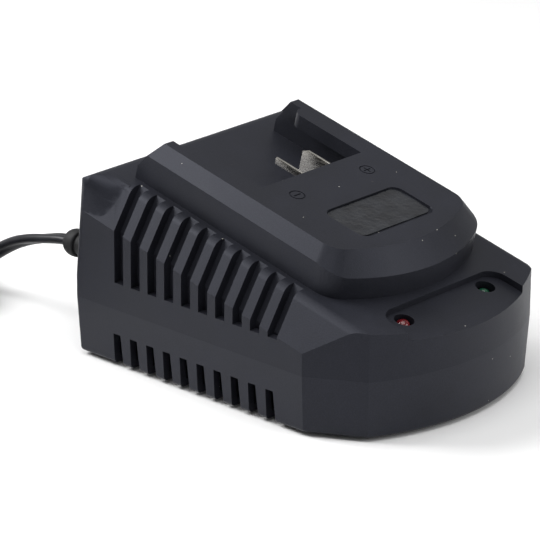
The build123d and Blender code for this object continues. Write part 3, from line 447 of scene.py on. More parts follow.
# %% The cord's line
SLEEVE_END = (-33.8, 84.0, 30.7)
ROUTE = [(-33.8, 87.0, 30.4), (-33.9, 93.0, 29.0), (-33.8, 102.5, 26.3), (-33.4, 112.0, 22.3),
         (-32.5, 123.4, 14.9), (-31.6, 132.2, 7.5), (-30.9, 138.9, 4.15), (-30.1, 145.9, 2.6)]
COIL_CENTRE = (-64.0, 153.5)
CORD_WIDTH, CORD_THICKNESS = 5.2, 3.2
OUTER, MIDDLE, INNER = 34.2, 29.0, 23.8         # radii of the turns
LOW_ROW, MID_ROW, HIGH_ROW = 2.6, 7.8, 13.0     # and their heights
PLACES = [(OUTER, LOW_ROW), (OUTER, MID_ROW), (MIDDLE, MID_ROW), (MIDDLE, LOW_ROW),
          (INNER, LOW_ROW), (INNER, MID_ROW), (INNER, HIGH_ROW), (MIDDLE, HIGH_ROW),
          (OUTER, HIGH_ROW)]
POINTS_PER_TURN = 24
LAST_ANGLE = 75                 # where the end leaves the last, partial turn
FIRST_STEP, STEP_EARLIER, STEP_SPAN = 336, 33, 34   # degrees round the coil
TAIL = [(-71.0, 187.9, 14.8), (-82.5, 181.7, 18.9), (-90.0, 169.8, 22.45)]
PLUG_ENTRY = (-90.0, 158.5, 22.45)


def coil_points():
    """Points of the turns, counter-clockwise from the side where the lead comes in."""
    points = []
    last = len(PLACES) - 1
    for i in range(int((last * 360 + LAST_ANGLE) * POINTS_PER_TURN / 360) + 1):
        turn, part = divmod(i * 360 / POINTS_PER_TURN, 360)
        here, after = PLACES[int(turn)], PLACES[min(int(turn) + 1, last)]
        share = (part - (FIRST_STEP - STEP_EARLIER * turn)) / STEP_SPAN + 0.5
        share = min(max(share, 0.0), 1.0)
        share = share * share * (3 - 2 * share)
        radius = here[0] + (after[0] - here[0]) * share
        height = here[1] + (after[1] - here[1]) * share
        points.append((COIL_CENTRE[0] + radius * cos(radians(part)),
                       COIL_CENTRE[1] + radius * sin(radians(part)), height))
    return points


line = [SLEEVE_END] + ROUTE + coil_points() + TAIL + [PLUG_ENTRY]
# How far the flat lead is turned on its side at each point, from level (0) to upright (1).
upright = [0.0, 0.0, 0.05, 0.3, 0.55, 0.8, 0.95]
upright += [1.0] * (len(line) - len(upright))
print("points of the cord:", len(line))

# %% [markdown]
# The lead's section is two round cores side by side, so it is a figure of eight.  A closed
# line of that shape is given to the route as its bevel object, which sweeps it along and
# turns it by each point's tilt.  One curve stays easy to change, and no joint can show.

# %% The cord
section = bpy.data.curves.new("cord_section", "CURVE")
section.dimensions = "2D"
lobe, half_gap = CORD_THICKNESS / 2, (CORD_WIDTH - CORD_THICKNESS) / 2
LOBE_REACH = pi / 2 + 0.6751    # each lobe's outline, either way from its outermost point
LOBE_POINTS = 10
outline = []
for side in (1, -1):
    for i in range(LOBE_POINTS):
        turn = -LOBE_REACH + 2 * LOBE_REACH * i / LOBE_POINTS
        outline.append((side * (half_gap + lobe * cos(turn)), side * lobe * sin(turn)))
ring = section.splines.new("POLY")
ring.points.add(len(outline) - 1)
for point, (x, y) in zip(ring.points, outline):
    point.co = (x * MM, y * MM, 0, 1)
ring.use_cyclic_u = True
section_object = bpy.data.objects.new("cord_section", section)
bpy.context.scene.collection.objects.link(section_object)

lead = bpy.data.curves.new("cord", "CURVE")
lead.dimensions = "3D"
lead.twist_mode = "Z_UP"
lead.bevel_mode = "OBJECT"
lead.bevel_object = section_object
lead.use_fill_caps = True
lead.resolution_u = 4
spline = lead.splines.new("NURBS")
spline.points.add(len(line) - 1)
for point, (x, y, z), turned_up in zip(spline.points, line, upright):
    point.co = (x * MM, y * MM, z * MM, 1)
    point.tilt = turned_up * pi / 2
spline.order_u = 3
spline.use_endpoint_u = True
cord = bpy.data.objects.new("cord", lead)
bpy.context.scene.collection.objects.link(cord)
section_object.hide_render = True
section_object.hide_viewport = True
print("points of the cord's section:", len(outline))

# %% [markdown]
# Soft PVC: extruded through a polished die, so it is glossier than the case, with faint
# drawn waves and a dull bloom where it has been handled.  The rubber of the sleeve is
# duller, and its colour is darkened further as painted shade for the shadow that falls on
# it.  The plug's PVC has the fine grain of its mould.

# %% Extruded and moulded PVC

def soft_plastic(name, dark, pale, gloss, wave, relief):
    """Soft plastic or rubber: a highlight that drifts between glossy and dull."""
    material, tree, surface, place = new_material(name, IOR=1.52, Specular_IOR_Level=0.4)
    cloud = add(tree, "TexNoise", {"Scale": per(9), "Detail": 3.0}, {"Vector": (place, "Object")})
    fine = add(tree, "TexNoise", {"Scale": per(wave), "Detail": 2.0}, {"Vector": (place, "Object")})
    tone = add(tree, "ValToRGB", {"stops": [(0.35, dark), (0.7, pale)]}, {"Fac": (cloud, "Fac")})
    dull = add(tree, "MapRange", {"From Min": 0.3, "From Max": 0.7, "To Min": gloss - 0.06,
                                  "To Max": gloss + 0.08}, {"Value": (cloud, "Fac")})
    skin = add(tree, "Bump", {"Strength": 0.5, "Distance": relief * MM}, {"Height": (fine, "Fac")})
    feed(tree, surface, Base_Color=(tone, 0), Roughness=(dull, 0), Normal=(skin, 0))
    return material


cord_pvc = soft_plastic("extruded_pvc", "#18191D", "#222329", 0.34, 2.2, 0.05)
# The sleeve's two tones are darkened as painted shade, for the shadow that falls on it.
sleeve_rubber_painted_shade = soft_plastic("moulded_rubber_painted_shade", "#0C0D0F", "#131417", 0.62, 0.7, 0.03)
plug_pvc = soft_plastic("moulded_pvc", "#1F2023", "#292A2D", 0.42, 0.6, 0.03)
print("soft finishes:", cord_pvc.name, sleeve_rubber_painted_shade.name, plug_pvc.name)

# %% [markdown]
# The plug's body is moulded onto the lead: a flat block, narrower where the lead goes in,
# with finger grooves across both faces and a round neck.  A block is cut down by its
# corners, rounded by a bevel, and the grooves are cut out of it with a Boolean.

# %% Plug body
NECK_LENGTH, PLUG_FRONT, PLUG_TOP = 12.0, 41.0, 13.7
PLUG_HALF, PLUG_WAIST, SHOULDER = 17.65, 10.6, 10.0     # SHOULDER: where it widens
GRIP_COUNT, GRIP_PITCH, GRIP_START = 5, 3.2, 8.0
GRIP_HALF, GRIP_DEPTH, GRIP_REACH = 0.7, 0.55, 8.5
COIL_TOP = 15.6
PLUG_PLACE = (Matrix.Translation(mm(PLUG_ENTRY[0], PLUG_ENTRY[1], COIL_TOP))
              @ Matrix.Rotation(pi, 4, "Z"))


def cut(piece, tool, operation="DIFFERENCE"):
    """Cuts one piece with another, or joins them, and removes the tool."""
    modify(piece, "BOOLEAN", object=tool, operation=operation, solver="EXACT")
    bpy.data.objects.remove(tool, do_unlink=True)
    return piece


plug = block("plug_moulding", (-PLUG_HALF, NECK_LENGTH, 0), (PLUG_HALF, PLUG_FRONT, PLUG_TOP))
start_editing(plug)
bpy.ops.mesh.select_all(action="SELECT")
bpy.ops.mesh.bisect(plane_co=mm(0, NECK_LENGTH + SHOULDER, 0), plane_no=(0, 1, 0))
done_editing()
choose(plug, "verts", lambda v, p: p.y < NECK_LENGTH + 1)
bpy.ops.transform.resize(value=(PLUG_WAIST / PLUG_HALF, 1, 1),
                         center_override=mm(0, NECK_LENGTH, PLUG_TOP / 2))
done_editing()
choose(plug, "edges", lambda e, p: abs(e.verts[0].co.z - e.verts[1].co.z) > 5 * MM
       and abs(p.y - NECK_LENGTH - SHOULDER) > 1)
bpy.ops.mesh.bevel(offset=4.2 * MM, segments=6, profile=0.5)
done_editing()
for level in (0.0, PLUG_TOP):
    for k in range(GRIP_COUNT):
        y = NECK_LENGTH + GRIP_START + GRIP_PITCH * k
        groove = block("groove", (-GRIP_REACH, y - GRIP_HALF, level - GRIP_DEPTH),
                       (GRIP_REACH, y + GRIP_HALF, level + GRIP_DEPTH))
        modify(groove, "BEVEL", width=0.45 * MM, segments=3)
        cut(plug, groove)
neck = turned("neck", (0, 0, PLUG_TOP / 2), (0, 1, 0),
              [(0.0, 2.9)] + rounded_step(0.2, 3.4, 3.9, 0.7) + [(4.0, 3.2)]
              + rounded_step(4.6, 7.8, 4.15, 0.7) + [(8.4, 3.5)]
              + rounded_step(9.0, 15.0, 4.3, 0.5))
cut(plug, neck, "UNION")
modify(plug, "BEVEL", width=1.3 * MM, segments=4, limit_method="ANGLE", angle_limit=radians(60),
       use_clamp_overlap=True)
smooth(plug, 35)
plug.data.transform(PLUG_PLACE)
finished(plug, plug_pvc, "cord_pvc", "plug_body")
print("plug faces:", len(plug.data.polygons))

# %% [markdown]
# The bare metal outside the case is plated: the pins and contacts are brass with a thin
# coat of nickel, and the screws are steel with zinc.  Both are polished but handled, so
# fine marks, drawn out along the piece, spread the highlight.  A pattern that is stretched
# by a Mapping node gives those marks.

# %% Plated metal

def plated_metal(name, dark, pale, gloss, scratch):
    """Polished plating: a metal, with fine handling marks that spread its highlight."""
    material, tree, surface, place = new_material(name, Metallic=1.0)
    drawn_out = add(tree, "Mapping", {"Scale": (1.0, 0.15, 1.0)}, {"Vector": (place, "Object")})
    marks = add(tree, "TexNoise", {"Scale": per(scratch), "Detail": 3.0},
                {"Vector": (drawn_out, 0)})
    tone = add(tree, "ValToRGB", {"stops": [(0.3, dark), (0.7, pale)]}, {"Fac": (marks, "Fac")})
    dull = add(tree, "MapRange", {"From Min": 0.25, "From Max": 0.75, "To Min": gloss - 0.06,
                                  "To Max": gloss + 0.1}, {"Value": (marks, "Fac")})
    skin = add(tree, "Bump", {"Strength": 0.3, "Distance": 0.01 * MM}, {"Height": (marks, "Fac")})
    feed(tree, surface, Base_Color=(tone, 0), Roughness=(dull, 0), Normal=(skin, 0))
    return material


nickel = plated_metal("nickel_plate", "#BDB9B1", "#D2CFC8", 0.24, 0.8)
zinc = plated_metal("zinc_plate", "#9FA3A8", "#B8BBBF", 0.34, 0.6)
print("plated finishes:", nickel.name, zinc.name)

# %% [markdown]
# The plug has two round pins with rounded tips.  One is turned, and its copy is moved over.

# %% Plug pins
PIN_SPACING = 18.6
pin = turned("plug_contacts", (0, PLUG_FRONT, PLUG_TOP / 2), (0, 1, 0),
             [(-1.0, 2.0), (17.6, 2.0), (18.2, 1.9), (18.6, 1.68), (18.9, 1.3), (19.0, 0.8)])
smooth(copies(pin, [(-PIN_SPACING / 2, 0, 0), (PIN_SPACING / 2, 0, 0)]), 40)
pin.data.transform(PLUG_PLACE)
finished(pin, nickel, "pin_nickel", "plug_pins")
print("pins apart, mm:", PIN_SPACING)

# %% [markdown]
# A band of soft plastic holds the coil together.  It is a loop: a block without its two
# open sides, with rounded corners, whose wall is then given its thickness.

# %% Band round the coil
BAND_LOW, BAND_HIGH = (-101.45, 149.5, 0.0), (-84.15, 157.5, 16.25)
band = block("coil_band", BAND_LOW, BAND_HIGH)
choose(band, "edges", lambda e, p: abs(e.verts[0].co.y - e.verts[1].co.y) > 5 * MM)
bpy.ops.mesh.bevel(offset=1.4 * MM, segments=5)
done_editing()
choose(band, "faces", lambda f, p: abs(f.normal.y) > 0.9)
bpy.ops.mesh.delete(type="FACE")
done_editing()
modify(band, "SOLIDIFY", thickness=0.6 * MM, offset=-1.0)
modify(band, "BEVEL", width=0.15 * MM, segments=2, limit_method="ANGLE", angle_limit=radians(50))
smooth(band, 40)
finished(band, plug_pvc, "cord_pvc", "coil_tie")
print("band faces:", len(band.data.polygons))

# %% [markdown]
# The strain relief is a rubber sleeve: a flange inside the case, a neck in the wall, and
# outside a stack of rings that lets it bend gently.  The last ring is rounded down to the
# lead.  It is turned, with its bore, as one closed shape.

# %% Strain relief
SLEEVE_X, SLEEVE_Z, BORE = SLEEVE_END[0], SLEEVE_END[2], 2.65
FLANGE_START, WALL_INSIDE, WALL_OUTSIDE, SLEEVE_STOP = 60.3, 62.3, 65.6, SLEEVE_END[1]
flange = [(FLANGE_START, BORE), (FLANGE_START, 5.8), (60.5, 6.0), (62.1, 6.0), (WALL_INSIDE, 5.8)]
neck_in_wall = [(WALL_INSIDE, 4.0), (WALL_OUTSIDE, 4.0)]
rings = (rounded_step(WALL_OUTSIDE, 69.7, 5.0, 0.8) + [(69.7, 3.7), (71.9, 3.7)]
         + rounded_step(71.9, 76.0, 4.9, 0.8) + [(76.0, 3.7), (78.2, 3.7)])
tip = (rounded_step(78.2, 81.9, 4.75, 0.8, 3)[:4]
       + [(80.2, 4.75), (81.3, 4.6), (82.3, 4.25), (83.1, 3.75), (83.7, 3.2), (SLEEVE_STOP, BORE)])
sleeve = turned("strain_sleeve", (SLEEVE_X, 0, SLEEVE_Z), (0, 1, 0),
                flange + neck_in_wall + rings + tip + [(FLANGE_START, BORE)], sides=56,
                closed_ends=(False, False))
smooth(sleeve, 40)
finished(sleeve, sleeve_rubber_painted_shade, "relief_rubber", "strain_relief")
print("sleeve outside the case, mm:", round(SLEEVE_STOP - WALL_OUTSIDE, 1))

# %% [markdown]
# Now the pieces on the cord exist, so the cord gets its finish, rides on the charger's
# body, and hides the solids that it stands for.

# %% The cord's finish
finished(cord, cord_pvc, "cord_pvc", "mains_cord", "cord_coil", "cord_tail")

# %% [markdown]
# Two contacts stand in the battery recess.  They are stamped from 0.8 mm brass sheet and
# plated with nickel.  Each has a root in the wall of the recess and a solder tail behind
# it.  Both are extruded from the blade's front face, which cuts across it divide first.

# %% Stamping a contact
BLADE = 0.8
BROAD_X, SLIM_X = 9.1, -3.9
BLADE_FOOT, BLADE_TOP = 3.0, 14.1       # heights above the recess's floor
ROOT_LOW, ROOT_HIGH, ROOT_LENGTH = 3.0, 10.0, 12.5
TAIL_LOW, TAIL_HIGH, TAIL_LENGTH = 5.5, 7.5, 4.0
BROAD_FOOT, BROAD_REACH, CORNER_START = 1.5, 12.2, 13.0
SLIM_REACH, ARM_FOOT, ARM_LENGTH = 2.4, 11.7, 9.8


def slice_at(piece, *cuts):
    """Cuts the faces of a piece by planes, each given as an axis and a place."""
    start_editing(piece)
    for axis, where in cuts:
        bpy.ops.mesh.select_all(action="SELECT")
        direction = [0, 0, 0]
        direction["xyz".index(axis)] = 1
        bpy.ops.mesh.bisect(plane_co=tuple(where * MM * d for d in direction), plane_no=direction)
    done_editing()
    return piece


def pull_faces(piece, test, *shift):
    """Extrudes the faces that pass a test, by some millimetres."""
    choose(piece, "faces", test)
    bpy.ops.mesh.extrude_region_move(TRANSFORM_OT_translate={"value": mm(*shift)})
    done_editing()
    return piece


def root_and_tail(piece):
    """The part of a contact that passes through the wall of the recess."""
    slice_at(piece, ("z", ROOT_LOW), ("z", TAIL_LOW), ("z", TAIL_HIGH), ("z", ROOT_HIGH))
    pull_faces(piece, lambda f, p: f.normal.y < -0.9 and abs(p.y) < 0.1
               and ROOT_LOW < p.z < ROOT_HIGH, 0, -ROOT_LENGTH, 0)
    return pull_faces(piece, lambda f, p: f.normal.y < -0.9 and abs(p.y + ROOT_LENGTH) < 0.1
                      and TAIL_LOW < p.z < TAIL_HIGH, 0, -TAIL_LENGTH, 0)


def edged(piece):
    """Breaks a stamped piece's edges, and lays it onto the slope."""
    modify(piece, "BEVEL", width=0.12 * MM, segments=2, limit_method="ANGLE",
           angle_limit=radians(25))
    smooth(piece, 35)
    return onto_slope(piece)

# %% [markdown]
# The broad contact is a block of sheet thickness with its upper rear corner cut away.

# %% The broad contact
broad = block("contact_positive", (BROAD_X - BLADE / 2, 0, BROAD_FOOT),
              (BROAD_X + BLADE / 2, BROAD_REACH, BLADE_TOP))
start_editing(broad)
bpy.ops.mesh.select_all(action="SELECT")
bpy.ops.mesh.bisect(plane_co=mm(0, BROAD_REACH, CORNER_START),
                    plane_no=Vector((0, 1.1, 2.2)).normalized(), use_fill=True, clear_outer=True)
done_editing()
finished(edged(root_and_tail(broad)), nickel, "contact_nickel", "terminal_positive")
print("broad contact faces:", len(broad.data.polygons))

# %% [markdown]
# The slim contact is a post whose upper end is extruded backwards into an arm.

# %% The slim contact
slim = block("contact_negative", (SLIM_X - BLADE / 2, 0, BLADE_FOOT),
             (SLIM_X + BLADE / 2, SLIM_REACH, BLADE_TOP))
root_and_tail(slim)
slice_at(slim, ("z", ARM_FOOT))
pull_faces(slim, lambda f, p: f.normal.y > 0.9 and p.z > ARM_FOOT, 0, ARM_LENGTH, 0)
finished(edged(slim), nickel, "contact_nickel", "terminal_negative")
print("slim contact faces:", len(slim.data.polygons))

# %% [markdown]
# The badge field is a thin glossy film in a shallow pocket, left blank here.  It was
# pressed on by hand, so it is a little wavy, and its shine breaks up into patches.  A fine
# grid is drawn into a rounded outline, two sizes of wave are pushed into it, and it then
# gets its thickness.

# %% Badge film
FILM_LENGTH, FILM_WIDTH, FILM_CORNER, FILM_THICK = 34.3, 16.45, 3.15, 0.5
FILM_Y, FILM_TOP = -29.275, 14.0
FILM_WAVES = [("film_waves", 4.5, 0.26), ("film_creases", 1.5, 0.14)]   # size and height
film = primitive("grid", "badge_film", x_subdivisions=150, y_subdivisions=78, size=1)
for vertex in film.data.vertices:
    x, y = vertex.co.x * FILM_LENGTH, vertex.co.y * FILM_WIDTH
    dx = abs(x) - (FILM_LENGTH / 2 - FILM_CORNER)
    dy = abs(y) - (FILM_WIDTH / 2 - FILM_CORNER)
    if dx > 0 and dy > 0:
        pull = max(dx, dy) / sqrt(dx * dx + dy * dy)
        x = (1 if x > 0 else -1) * (FILM_LENGTH / 2 - FILM_CORNER + dx * pull)
        y = (1 if y > 0 else -1) * (FILM_WIDTH / 2 - FILM_CORNER + dy * pull)
    vertex.co = mm(x, FILM_Y + y, FILM_TOP)
modify(film, "SOLIDIFY", thickness=FILM_THICK * MM, offset=-1.0)
for name, size, strength in FILM_WAVES:
    waves = bpy.data.textures.new(name, "CLOUDS")
    waves.noise_scale, waves.noise_depth = size * MM, 2
    modify(film, "DISPLACE", texture=waves, texture_coords="LOCAL", direction="Z",
           strength=strength * MM, mid_level=0.62)
smooth(film, 50)
onto_slope(film)
print("film faces:", len(film.data.polygons))

# %% [markdown]
# The film is polyester, printed black on its back and clear above the print.  Its skin is
# smooth but pebbled by the glue under it, so the shine is bright and broken.

# %% Finish of the badge film

def gloss_film():
    """Printed polyester film: black under a clear gloss coat, with a pebbled skin."""
    material, tree, surface, place = new_material("gloss_film", IOR=1.45, Coat_Weight=0.1,
                                                  Coat_Roughness=0.08)
    pebble = add(tree, "TexNoise", {"Scale": per(0.9), "Detail": 3.0, "Distortion": 0.6},
                 {"Vector": (place, "Object")})
    cloud = add(tree, "TexNoise", {"Scale": per(6.0), "Detail": 3.0}, {"Vector": (place, "Object")})
    tone = add(tree, "ValToRGB", {"stops": [(0.3, "#16171B"), (0.7, "#25272C")]},
               {"Fac": (cloud, "Fac")})
    dull = add(tree, "MapRange", {"From Min": 0.3, "From Max": 0.7, "To Min": 0.16, "To Max": 0.30},
               {"Value": (cloud, "Fac")})
    skin = add(tree, "Bump", {"Strength": 0.9, "Distance": 0.12 * MM}, {"Height": (pebble, "Fac")})
    feed(tree, surface, Base_Color=(tone, 0), Roughness=(dull, 0), Normal=(skin, 0))
    return material


badge = finished(film, gloss_film(), "badge_gloss", "badge_plate")
print("badge finish:", badge.data.materials[0].name)

# %% [markdown]
# Each lamp is a 5 mm LED of coloured epoxy, with a domed tip and a flange, on two bare
# leads.  It sits deep in its hole, so only a little light reaches it and it looks dark.

# %% Lamps
LAMP_X, LAMP_Y, LAMP_BODY = 19.8, -62.3, 6.0
DOME_RADIUS, RIM, FLANGE_RADIUS, FLANGE_HEIGHT, BREAK = 2.5, 2.8, 2.9, 1.0, 0.1
DOME_ANGLES = (0, 15, 30, 45, 60, 72, 82)
RED_TIP, GREEN_TIP, LEAD_END = -2.3, -3.2, -15.0
LEAD_OFFSET, LEAD_HALF, LEAD_OVERLAP = 1.27, 0.25, 0.01


def coloured_epoxy(name, deep, bright):
    """Tinted clear epoxy: it passes light, tints it, and shines like glass."""
    material, tree, surface, place = new_material(name, IOR=1.55, Transmission_Weight=0.35,
                                                  Roughness=0.08)
    cloud = add(tree, "TexNoise", {"Scale": per(1.5), "Detail": 2.0}, {"Vector": (place, "Object")})
    tone = add(tree, "ValToRGB", {"stops": [(0.35, deep), (0.65, bright)]}, {"Fac": (cloud, "Fac")})
    feed(tree, surface, Base_Color=(tone, 0))
    return material


def lamp(name, side, tip):
    """One LED with its leads, modelled upright and laid onto the slope."""
    base = tip - LAMP_BODY
    flange = [(base, RIM - BREAK), (base, RIM), (base + BREAK, FLANGE_RADIUS),
              (base + FLANGE_HEIGHT - BREAK, FLANGE_RADIUS), (base + FLANGE_HEIGHT, RIM)]
    dome = [(tip - DOME_RADIUS + DOME_RADIUS * sin(radians(a)), DOME_RADIUS * cos(radians(a)))
            for a in DOME_ANGLES]
    piece = turned(name, (side * LAMP_X, LAMP_Y, 0), (0, 0, 1),
                   flange + [(base + FLANGE_HEIGHT, DOME_RADIUS)] + dome, sides=40)
    for way in (-1, 1):
        x = side * LAMP_X + way * LEAD_OFFSET
        lead_wire = block("lead_wire", (x - LEAD_HALF, LAMP_Y - LEAD_HALF, LEAD_END),
                          (x + LEAD_HALF, LAMP_Y + LEAD_HALF, base + LEAD_OVERLAP))
        only(piece)
        lead_wire.select_set(True)
        bpy.ops.object.join()
    smooth(piece, 35)
    return onto_slope(piece)


red = finished(lamp("lamp_red", -1, RED_TIP), coloured_epoxy("red_epoxy", "#5E0C14", "#8E1B24"),
               "lamp_red", "led_red")
green = finished(lamp("lamp_green", 1, GREEN_TIP),
                 coloured_epoxy("green_epoxy", "#0F3B28", "#1F6A4A"), "lamp_green", "led_green")
print("lamp faces:", len(red.data.polygons), len(green.data.polygons))

# %% [markdown]
# Four rubber feet carry the case.  One is turned, with a rounded sole, and then copied.

# %% Feet
FOOT_PLACES = [(31, 43, 0), (-31, 43, 0), (31, -36, 0), (-31, -36, 0)]
foot_rubber = soft_plastic("foot_rubber", "#1D1D1F", "#29292B", 0.62, 0.5, 0.03)
foot = turned("feet", (0, 0, 0), (0, 0, 1),
              [(0.0, 4.9), (0.12, 5.25), (0.4, 5.45), (0.7, 5.5), (2.0, 5.5)])
smooth(copies(foot, FOOT_PLACES), 40)
finished(foot, foot_rubber, "foot_rubber", "rubber_feet")
print("foot faces:", len(foot.data.polygons))

# %% [markdown]
# Four long screws hold the case together from below.  Each head has a cross recess, cut by
# two crossed wedges before the screw is copied.

# %% Case screws
SCREW_PLACES = [(42, 56, 0), (-42, 56, 0), (33, -46.5, 0), (-33, -46.5, 0)]
RECESS_MIDDLE, RECESS_SIZE = 2.9, (3.4, 0.75, 2.2)
screw = turned("long_screws", (0, 0, 0), (0, 0, 1),
               [(2.5, 2.3), (2.6, 2.6), (2.9, 2.85), (3.3, 2.9), (4.7, 2.9), (4.7, 1.5),
                (27.9, 1.5), (28.7, 0.9)], sides=40)
for turn in (0, 90):
    wedge = primitive("cube", "wedge", size=1, location=mm(0, 0, RECESS_MIDDLE),
                      scale=mm(*RECESS_SIZE), rotation=(0, 0, radians(turn)))
    cut(screw, wedge)
smooth(copies(screw, SCREW_PLACES), 35)
finished(screw, zinc, "screw_steel", "case_screws")
print("screw faces:", len(screw.data.polygons))

# %% [markdown]
# The pieces inside the case keep their exact solids and get the finish that each has on a
# real board.  One recipe serves them: a colour that drifts over a few millimetres, a
# roughness that drifts with it, and a fine relief.

# %% Finishes inside the case

def inner_finish(name, dark, pale, gloss, patch, grain, relief, **settings):
    """A finish from two tones, a roughness, two pattern sizes and a relief height."""
    material, tree, surface, place = new_material(name, **settings)
    cloud = add(tree, "TexNoise", {"Scale": per(patch), "Detail": 3.0},
                {"Vector": (place, "Object")})
    fine = add(tree, "TexNoise", {"Scale": per(grain), "Detail": 2.0},
               {"Vector": (place, "Object")})
    tone = add(tree, "ValToRGB", {"stops": [(0.35, dark), (0.68, pale)]}, {"Fac": (cloud, "Fac")})
    dull = add(tree, "MapRange", {"From Min": 0.3, "From Max": 0.7, "To Min": gloss - 0.05,
                                  "To Max": gloss + 0.07}, {"Value": (cloud, "Fac")})
    skin = add(tree, "Bump", {"Strength": 0.4, "Distance": relief * MM}, {"Height": (fine, "Fac")})
    feed(tree, surface, Base_Color=(tone, 0), Roughness=(dull, 0), Normal=(skin, 0))
    return material

# %% [markdown]
# One table holds the finishes, with the nodes that wear them.

# %% Table of the inner finishes
METAL, CLEAR = {"Metallic": 1.0}, {"Transmission_Weight": 0.7}
# Each row is one finish: its name, dark and pale tone, roughness, patch and grain in
# millimetres, relief in millimetres, other settings, and the nodes that have it.
INSIDE = [
    # Woven glass in green resin: the weave shows as a faint drift of the green.
    ("glass_epoxy_laminate", "#1E5B34", "#2A7042", 0.35, 4, 0.5, 0.02, {},
     ["main_pcb", "lamp_board"]),
    # Extruded wire sleeves, smooth and half glossy.
    ("wire_sleeve_black", "#1A1A1C", "#26262A", 0.40, 5, 0.8, 0.02, {},
     ["battery_wires", "lamp_wires", "cord_inner"]),
    ("wire_sleeve_brown", "#4A2A1C", "#5C3726", 0.40, 5, 0.8, 0.02, {}, ["mains_wires"]),
    # Small screws: bright zinc over rolled steel.
    ("zinc_plated_steel", "#9A9EA3", "#B4B7BB", 0.33, 3, 0.4, 0.01, METAL,
     ["lamp_board_screws", "pcb_screws", "cord_clamp_screws"]),
    # Moulded nylon, black and a little waxy.
    ("black_nylon", "#1B1C1E", "#27282B", 0.48, 6, 0.4, 0.02, {}, ["terminal_block", "cord_clamp"]),
    # Pressed and fired ferrite: matt, dark grey, with a coarse grain.
    ("sintered_ferrite", "#333436", "#45464A", 0.60, 2, 0.3, 0.03, {},
     ["transformer_core", "line_filter_core"]),
    ("bobbin_nylon", "#C9C2AE", "#DAD4C2", 0.45, 5, 0.4, 0.02, {}, ["transformer_bobbin"]),
    # Copper wire under clear enamel: a warm metal with glossy ridges.
    ("enamelled_copper", "#9A4A1E", "#B8622C", 0.30, 2, 0.5, 0.04, METAL,
     ["transformer_winding", "line_filter_windings"]),
    # Dark plastic sleeves, shrunk onto the capacitors' cans and glossy from the heat.
    ("shrink_sleeve", "#1D2430", "#28303E", 0.25, 6, 1.2, 0.02, {},
     ["primary_capacitor", "output_capacitors"]),
    ("polyester_box", "#C9A227", "#DDB83A", 0.38, 5, 0.6, 0.02, {}, ["x_capacitor"]),
    ("fuse_glass", "#D8DDDC", "#E6EAE9", 0.08, 5, 1.5, 0.01, CLEAR, ["fuse"]),
    # Dipped in liquid epoxy, so its skin is glossy and a little lumpy.
    ("dipped_epoxy_blue", "#2456A8", "#3066BC", 0.30, 3, 0.9, 0.03, {}, ["varistor"]),
    # Transfer-moulded epoxy: a matt black with a fine grain.
    ("moulded_epoxy", "#1E1E20", "#2A2A2D", 0.52, 2, 0.3, 0.02, {},
     ["bridge_rectifier", "mosfet", "output_diode", "controller_chip", "optocoupler"]),
    ("extruded_aluminium", "#B9BCC0", "#CDD0D3", 0.38, 4, 0.5, 0.02, METAL, ["heat_sink"]),
]
for *recipe, settings, nodes in INSIDE:
    finish = inner_finish(*recipe, **settings)
    for node in nodes:
        slots = cad[node].material_slots
        if len(slots) == 0:
            cad[node].data.materials.append(finish)
        for one in slots:
            one.material = finish
print("inner pieces finished:", sum(len(row[-1]) for row in INSIDE))

# %% [markdown]
# The charger stands on a white floor.  The floor is white to the camera and in reflections,
# and a middle grey in the light that it throws back, so that it keeps the charger's shadow
# and doesn't brighten its dark sides.

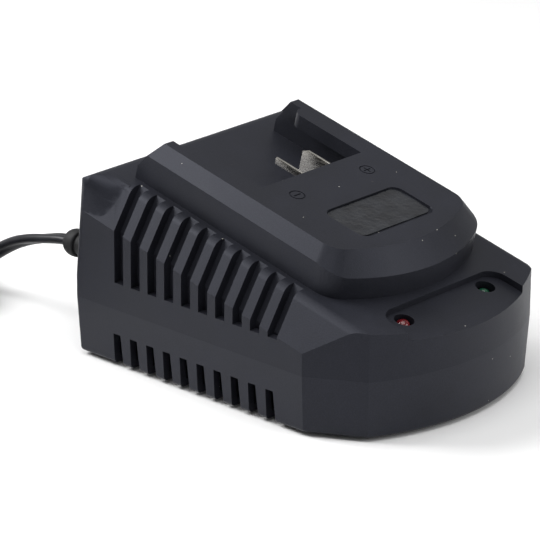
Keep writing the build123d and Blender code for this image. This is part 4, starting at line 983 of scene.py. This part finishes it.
# %% Floor
floor = primitive("plane", "floor", size=6.0, location=(0, 0, 0))
paper, tree, surface, place = new_material("white_paper", Roughness=0.9)
fibres = add(tree, "TexNoise", {"Scale": per(60), "Detail": 3.0}, {"Vector": (place, "Object")})
tone = add(tree, "ValToRGB", {"stops": [(0.3, "#FCFCFC"), (0.7, "#FFFFFF")]},
           {"Fac": (fibres, "Fac")})
rays = add(tree, "LightPath")
straight = add(tree, "Math", {"operation": "MAXIMUM"},
               {0: (rays, "Is Camera Ray"), 1: (rays, "Is Glossy Ray")})
direct = add(tree, "Math", {"operation": "MAXIMUM"},
             {0: (straight, 0), 1: (rays, "Is Transmission Ray")})
sheet = add(tree, "Mix", {"data_type": "RGBA", 6: linear("#A4A4A6")},
            {0: (direct, 0), 7: (tone, "Color")})
feed(tree, surface, Base_Color=(sheet, 2))
dress(floor, paper)
print("floor finish:", paper.name)

# %% [markdown]
# The world is white where the camera or a clear piece looks at it.  It gives the charger
# only a weak, even light, and shows as a dim grey in its gloss.

# %% World
EVEN_LIGHT, SEEN_IN_GLOSS = 0.22, 0.22
world = bpy.data.worlds.new("studio")
bpy.context.scene.world = world
world.use_nodes = True
tree = world.node_tree
rays = add(tree, "LightPath")
seen = add(tree, "Math", {"operation": "ADD", "use_clamp": True},
           {0: (rays, "Is Camera Ray"), 1: (rays, "Is Transmission Ray")})
shine = add(tree, "Math", {"operation": "MULTIPLY", 1: SEEN_IN_GLOSS}, {0: (rays, "Is Glossy Ray")})
either = add(tree, "Math", {"operation": "MAXIMUM"}, {0: (seen, 0), 1: (shine, 0)})
strength = add(tree, "MapRange", {"To Min": EVEN_LIGHT, "To Max": 1.0}, {"Value": (either, 0)})
sky = tree.nodes["Background"]
sky.inputs["Color"].default_value = (1, 1, 1, 1)
tree.links.new(strength.outputs[0], sky.inputs["Strength"])
print("world:", world.name)

# %% [markdown]
# Three soft lamps shape it: a large one hangs above, a smaller one behind its left makes
# the left slopes paler than the walls below them, and a third one fills the front.

# %% Lamps of the studio
AIM_HEIGHT = 0.04


def softbox(name, watts, size, place):
    """A square area lamp that faces the middle of the charger."""
    bpy.ops.object.light_add(type="AREA", location=place)
    box = bpy.context.object
    box.name = name
    box.data.energy = watts
    box.data.size = size
    towards = Vector((0, 0, AIM_HEIGHT)) - Vector(place)
    box.rotation_euler = towards.to_track_quat("-Z", "Y").to_euler()


softbox("key", 8.5, 1.0, (-0.1, -0.2, 1.2))
softbox("left", 8, 0.45, (-0.40, 0.62, 0.66))
softbox("front", 4.5, 0.7, (0.5, -1.0, 0.5))
bpy.context.scene.view_settings.view_transform = "Standard"
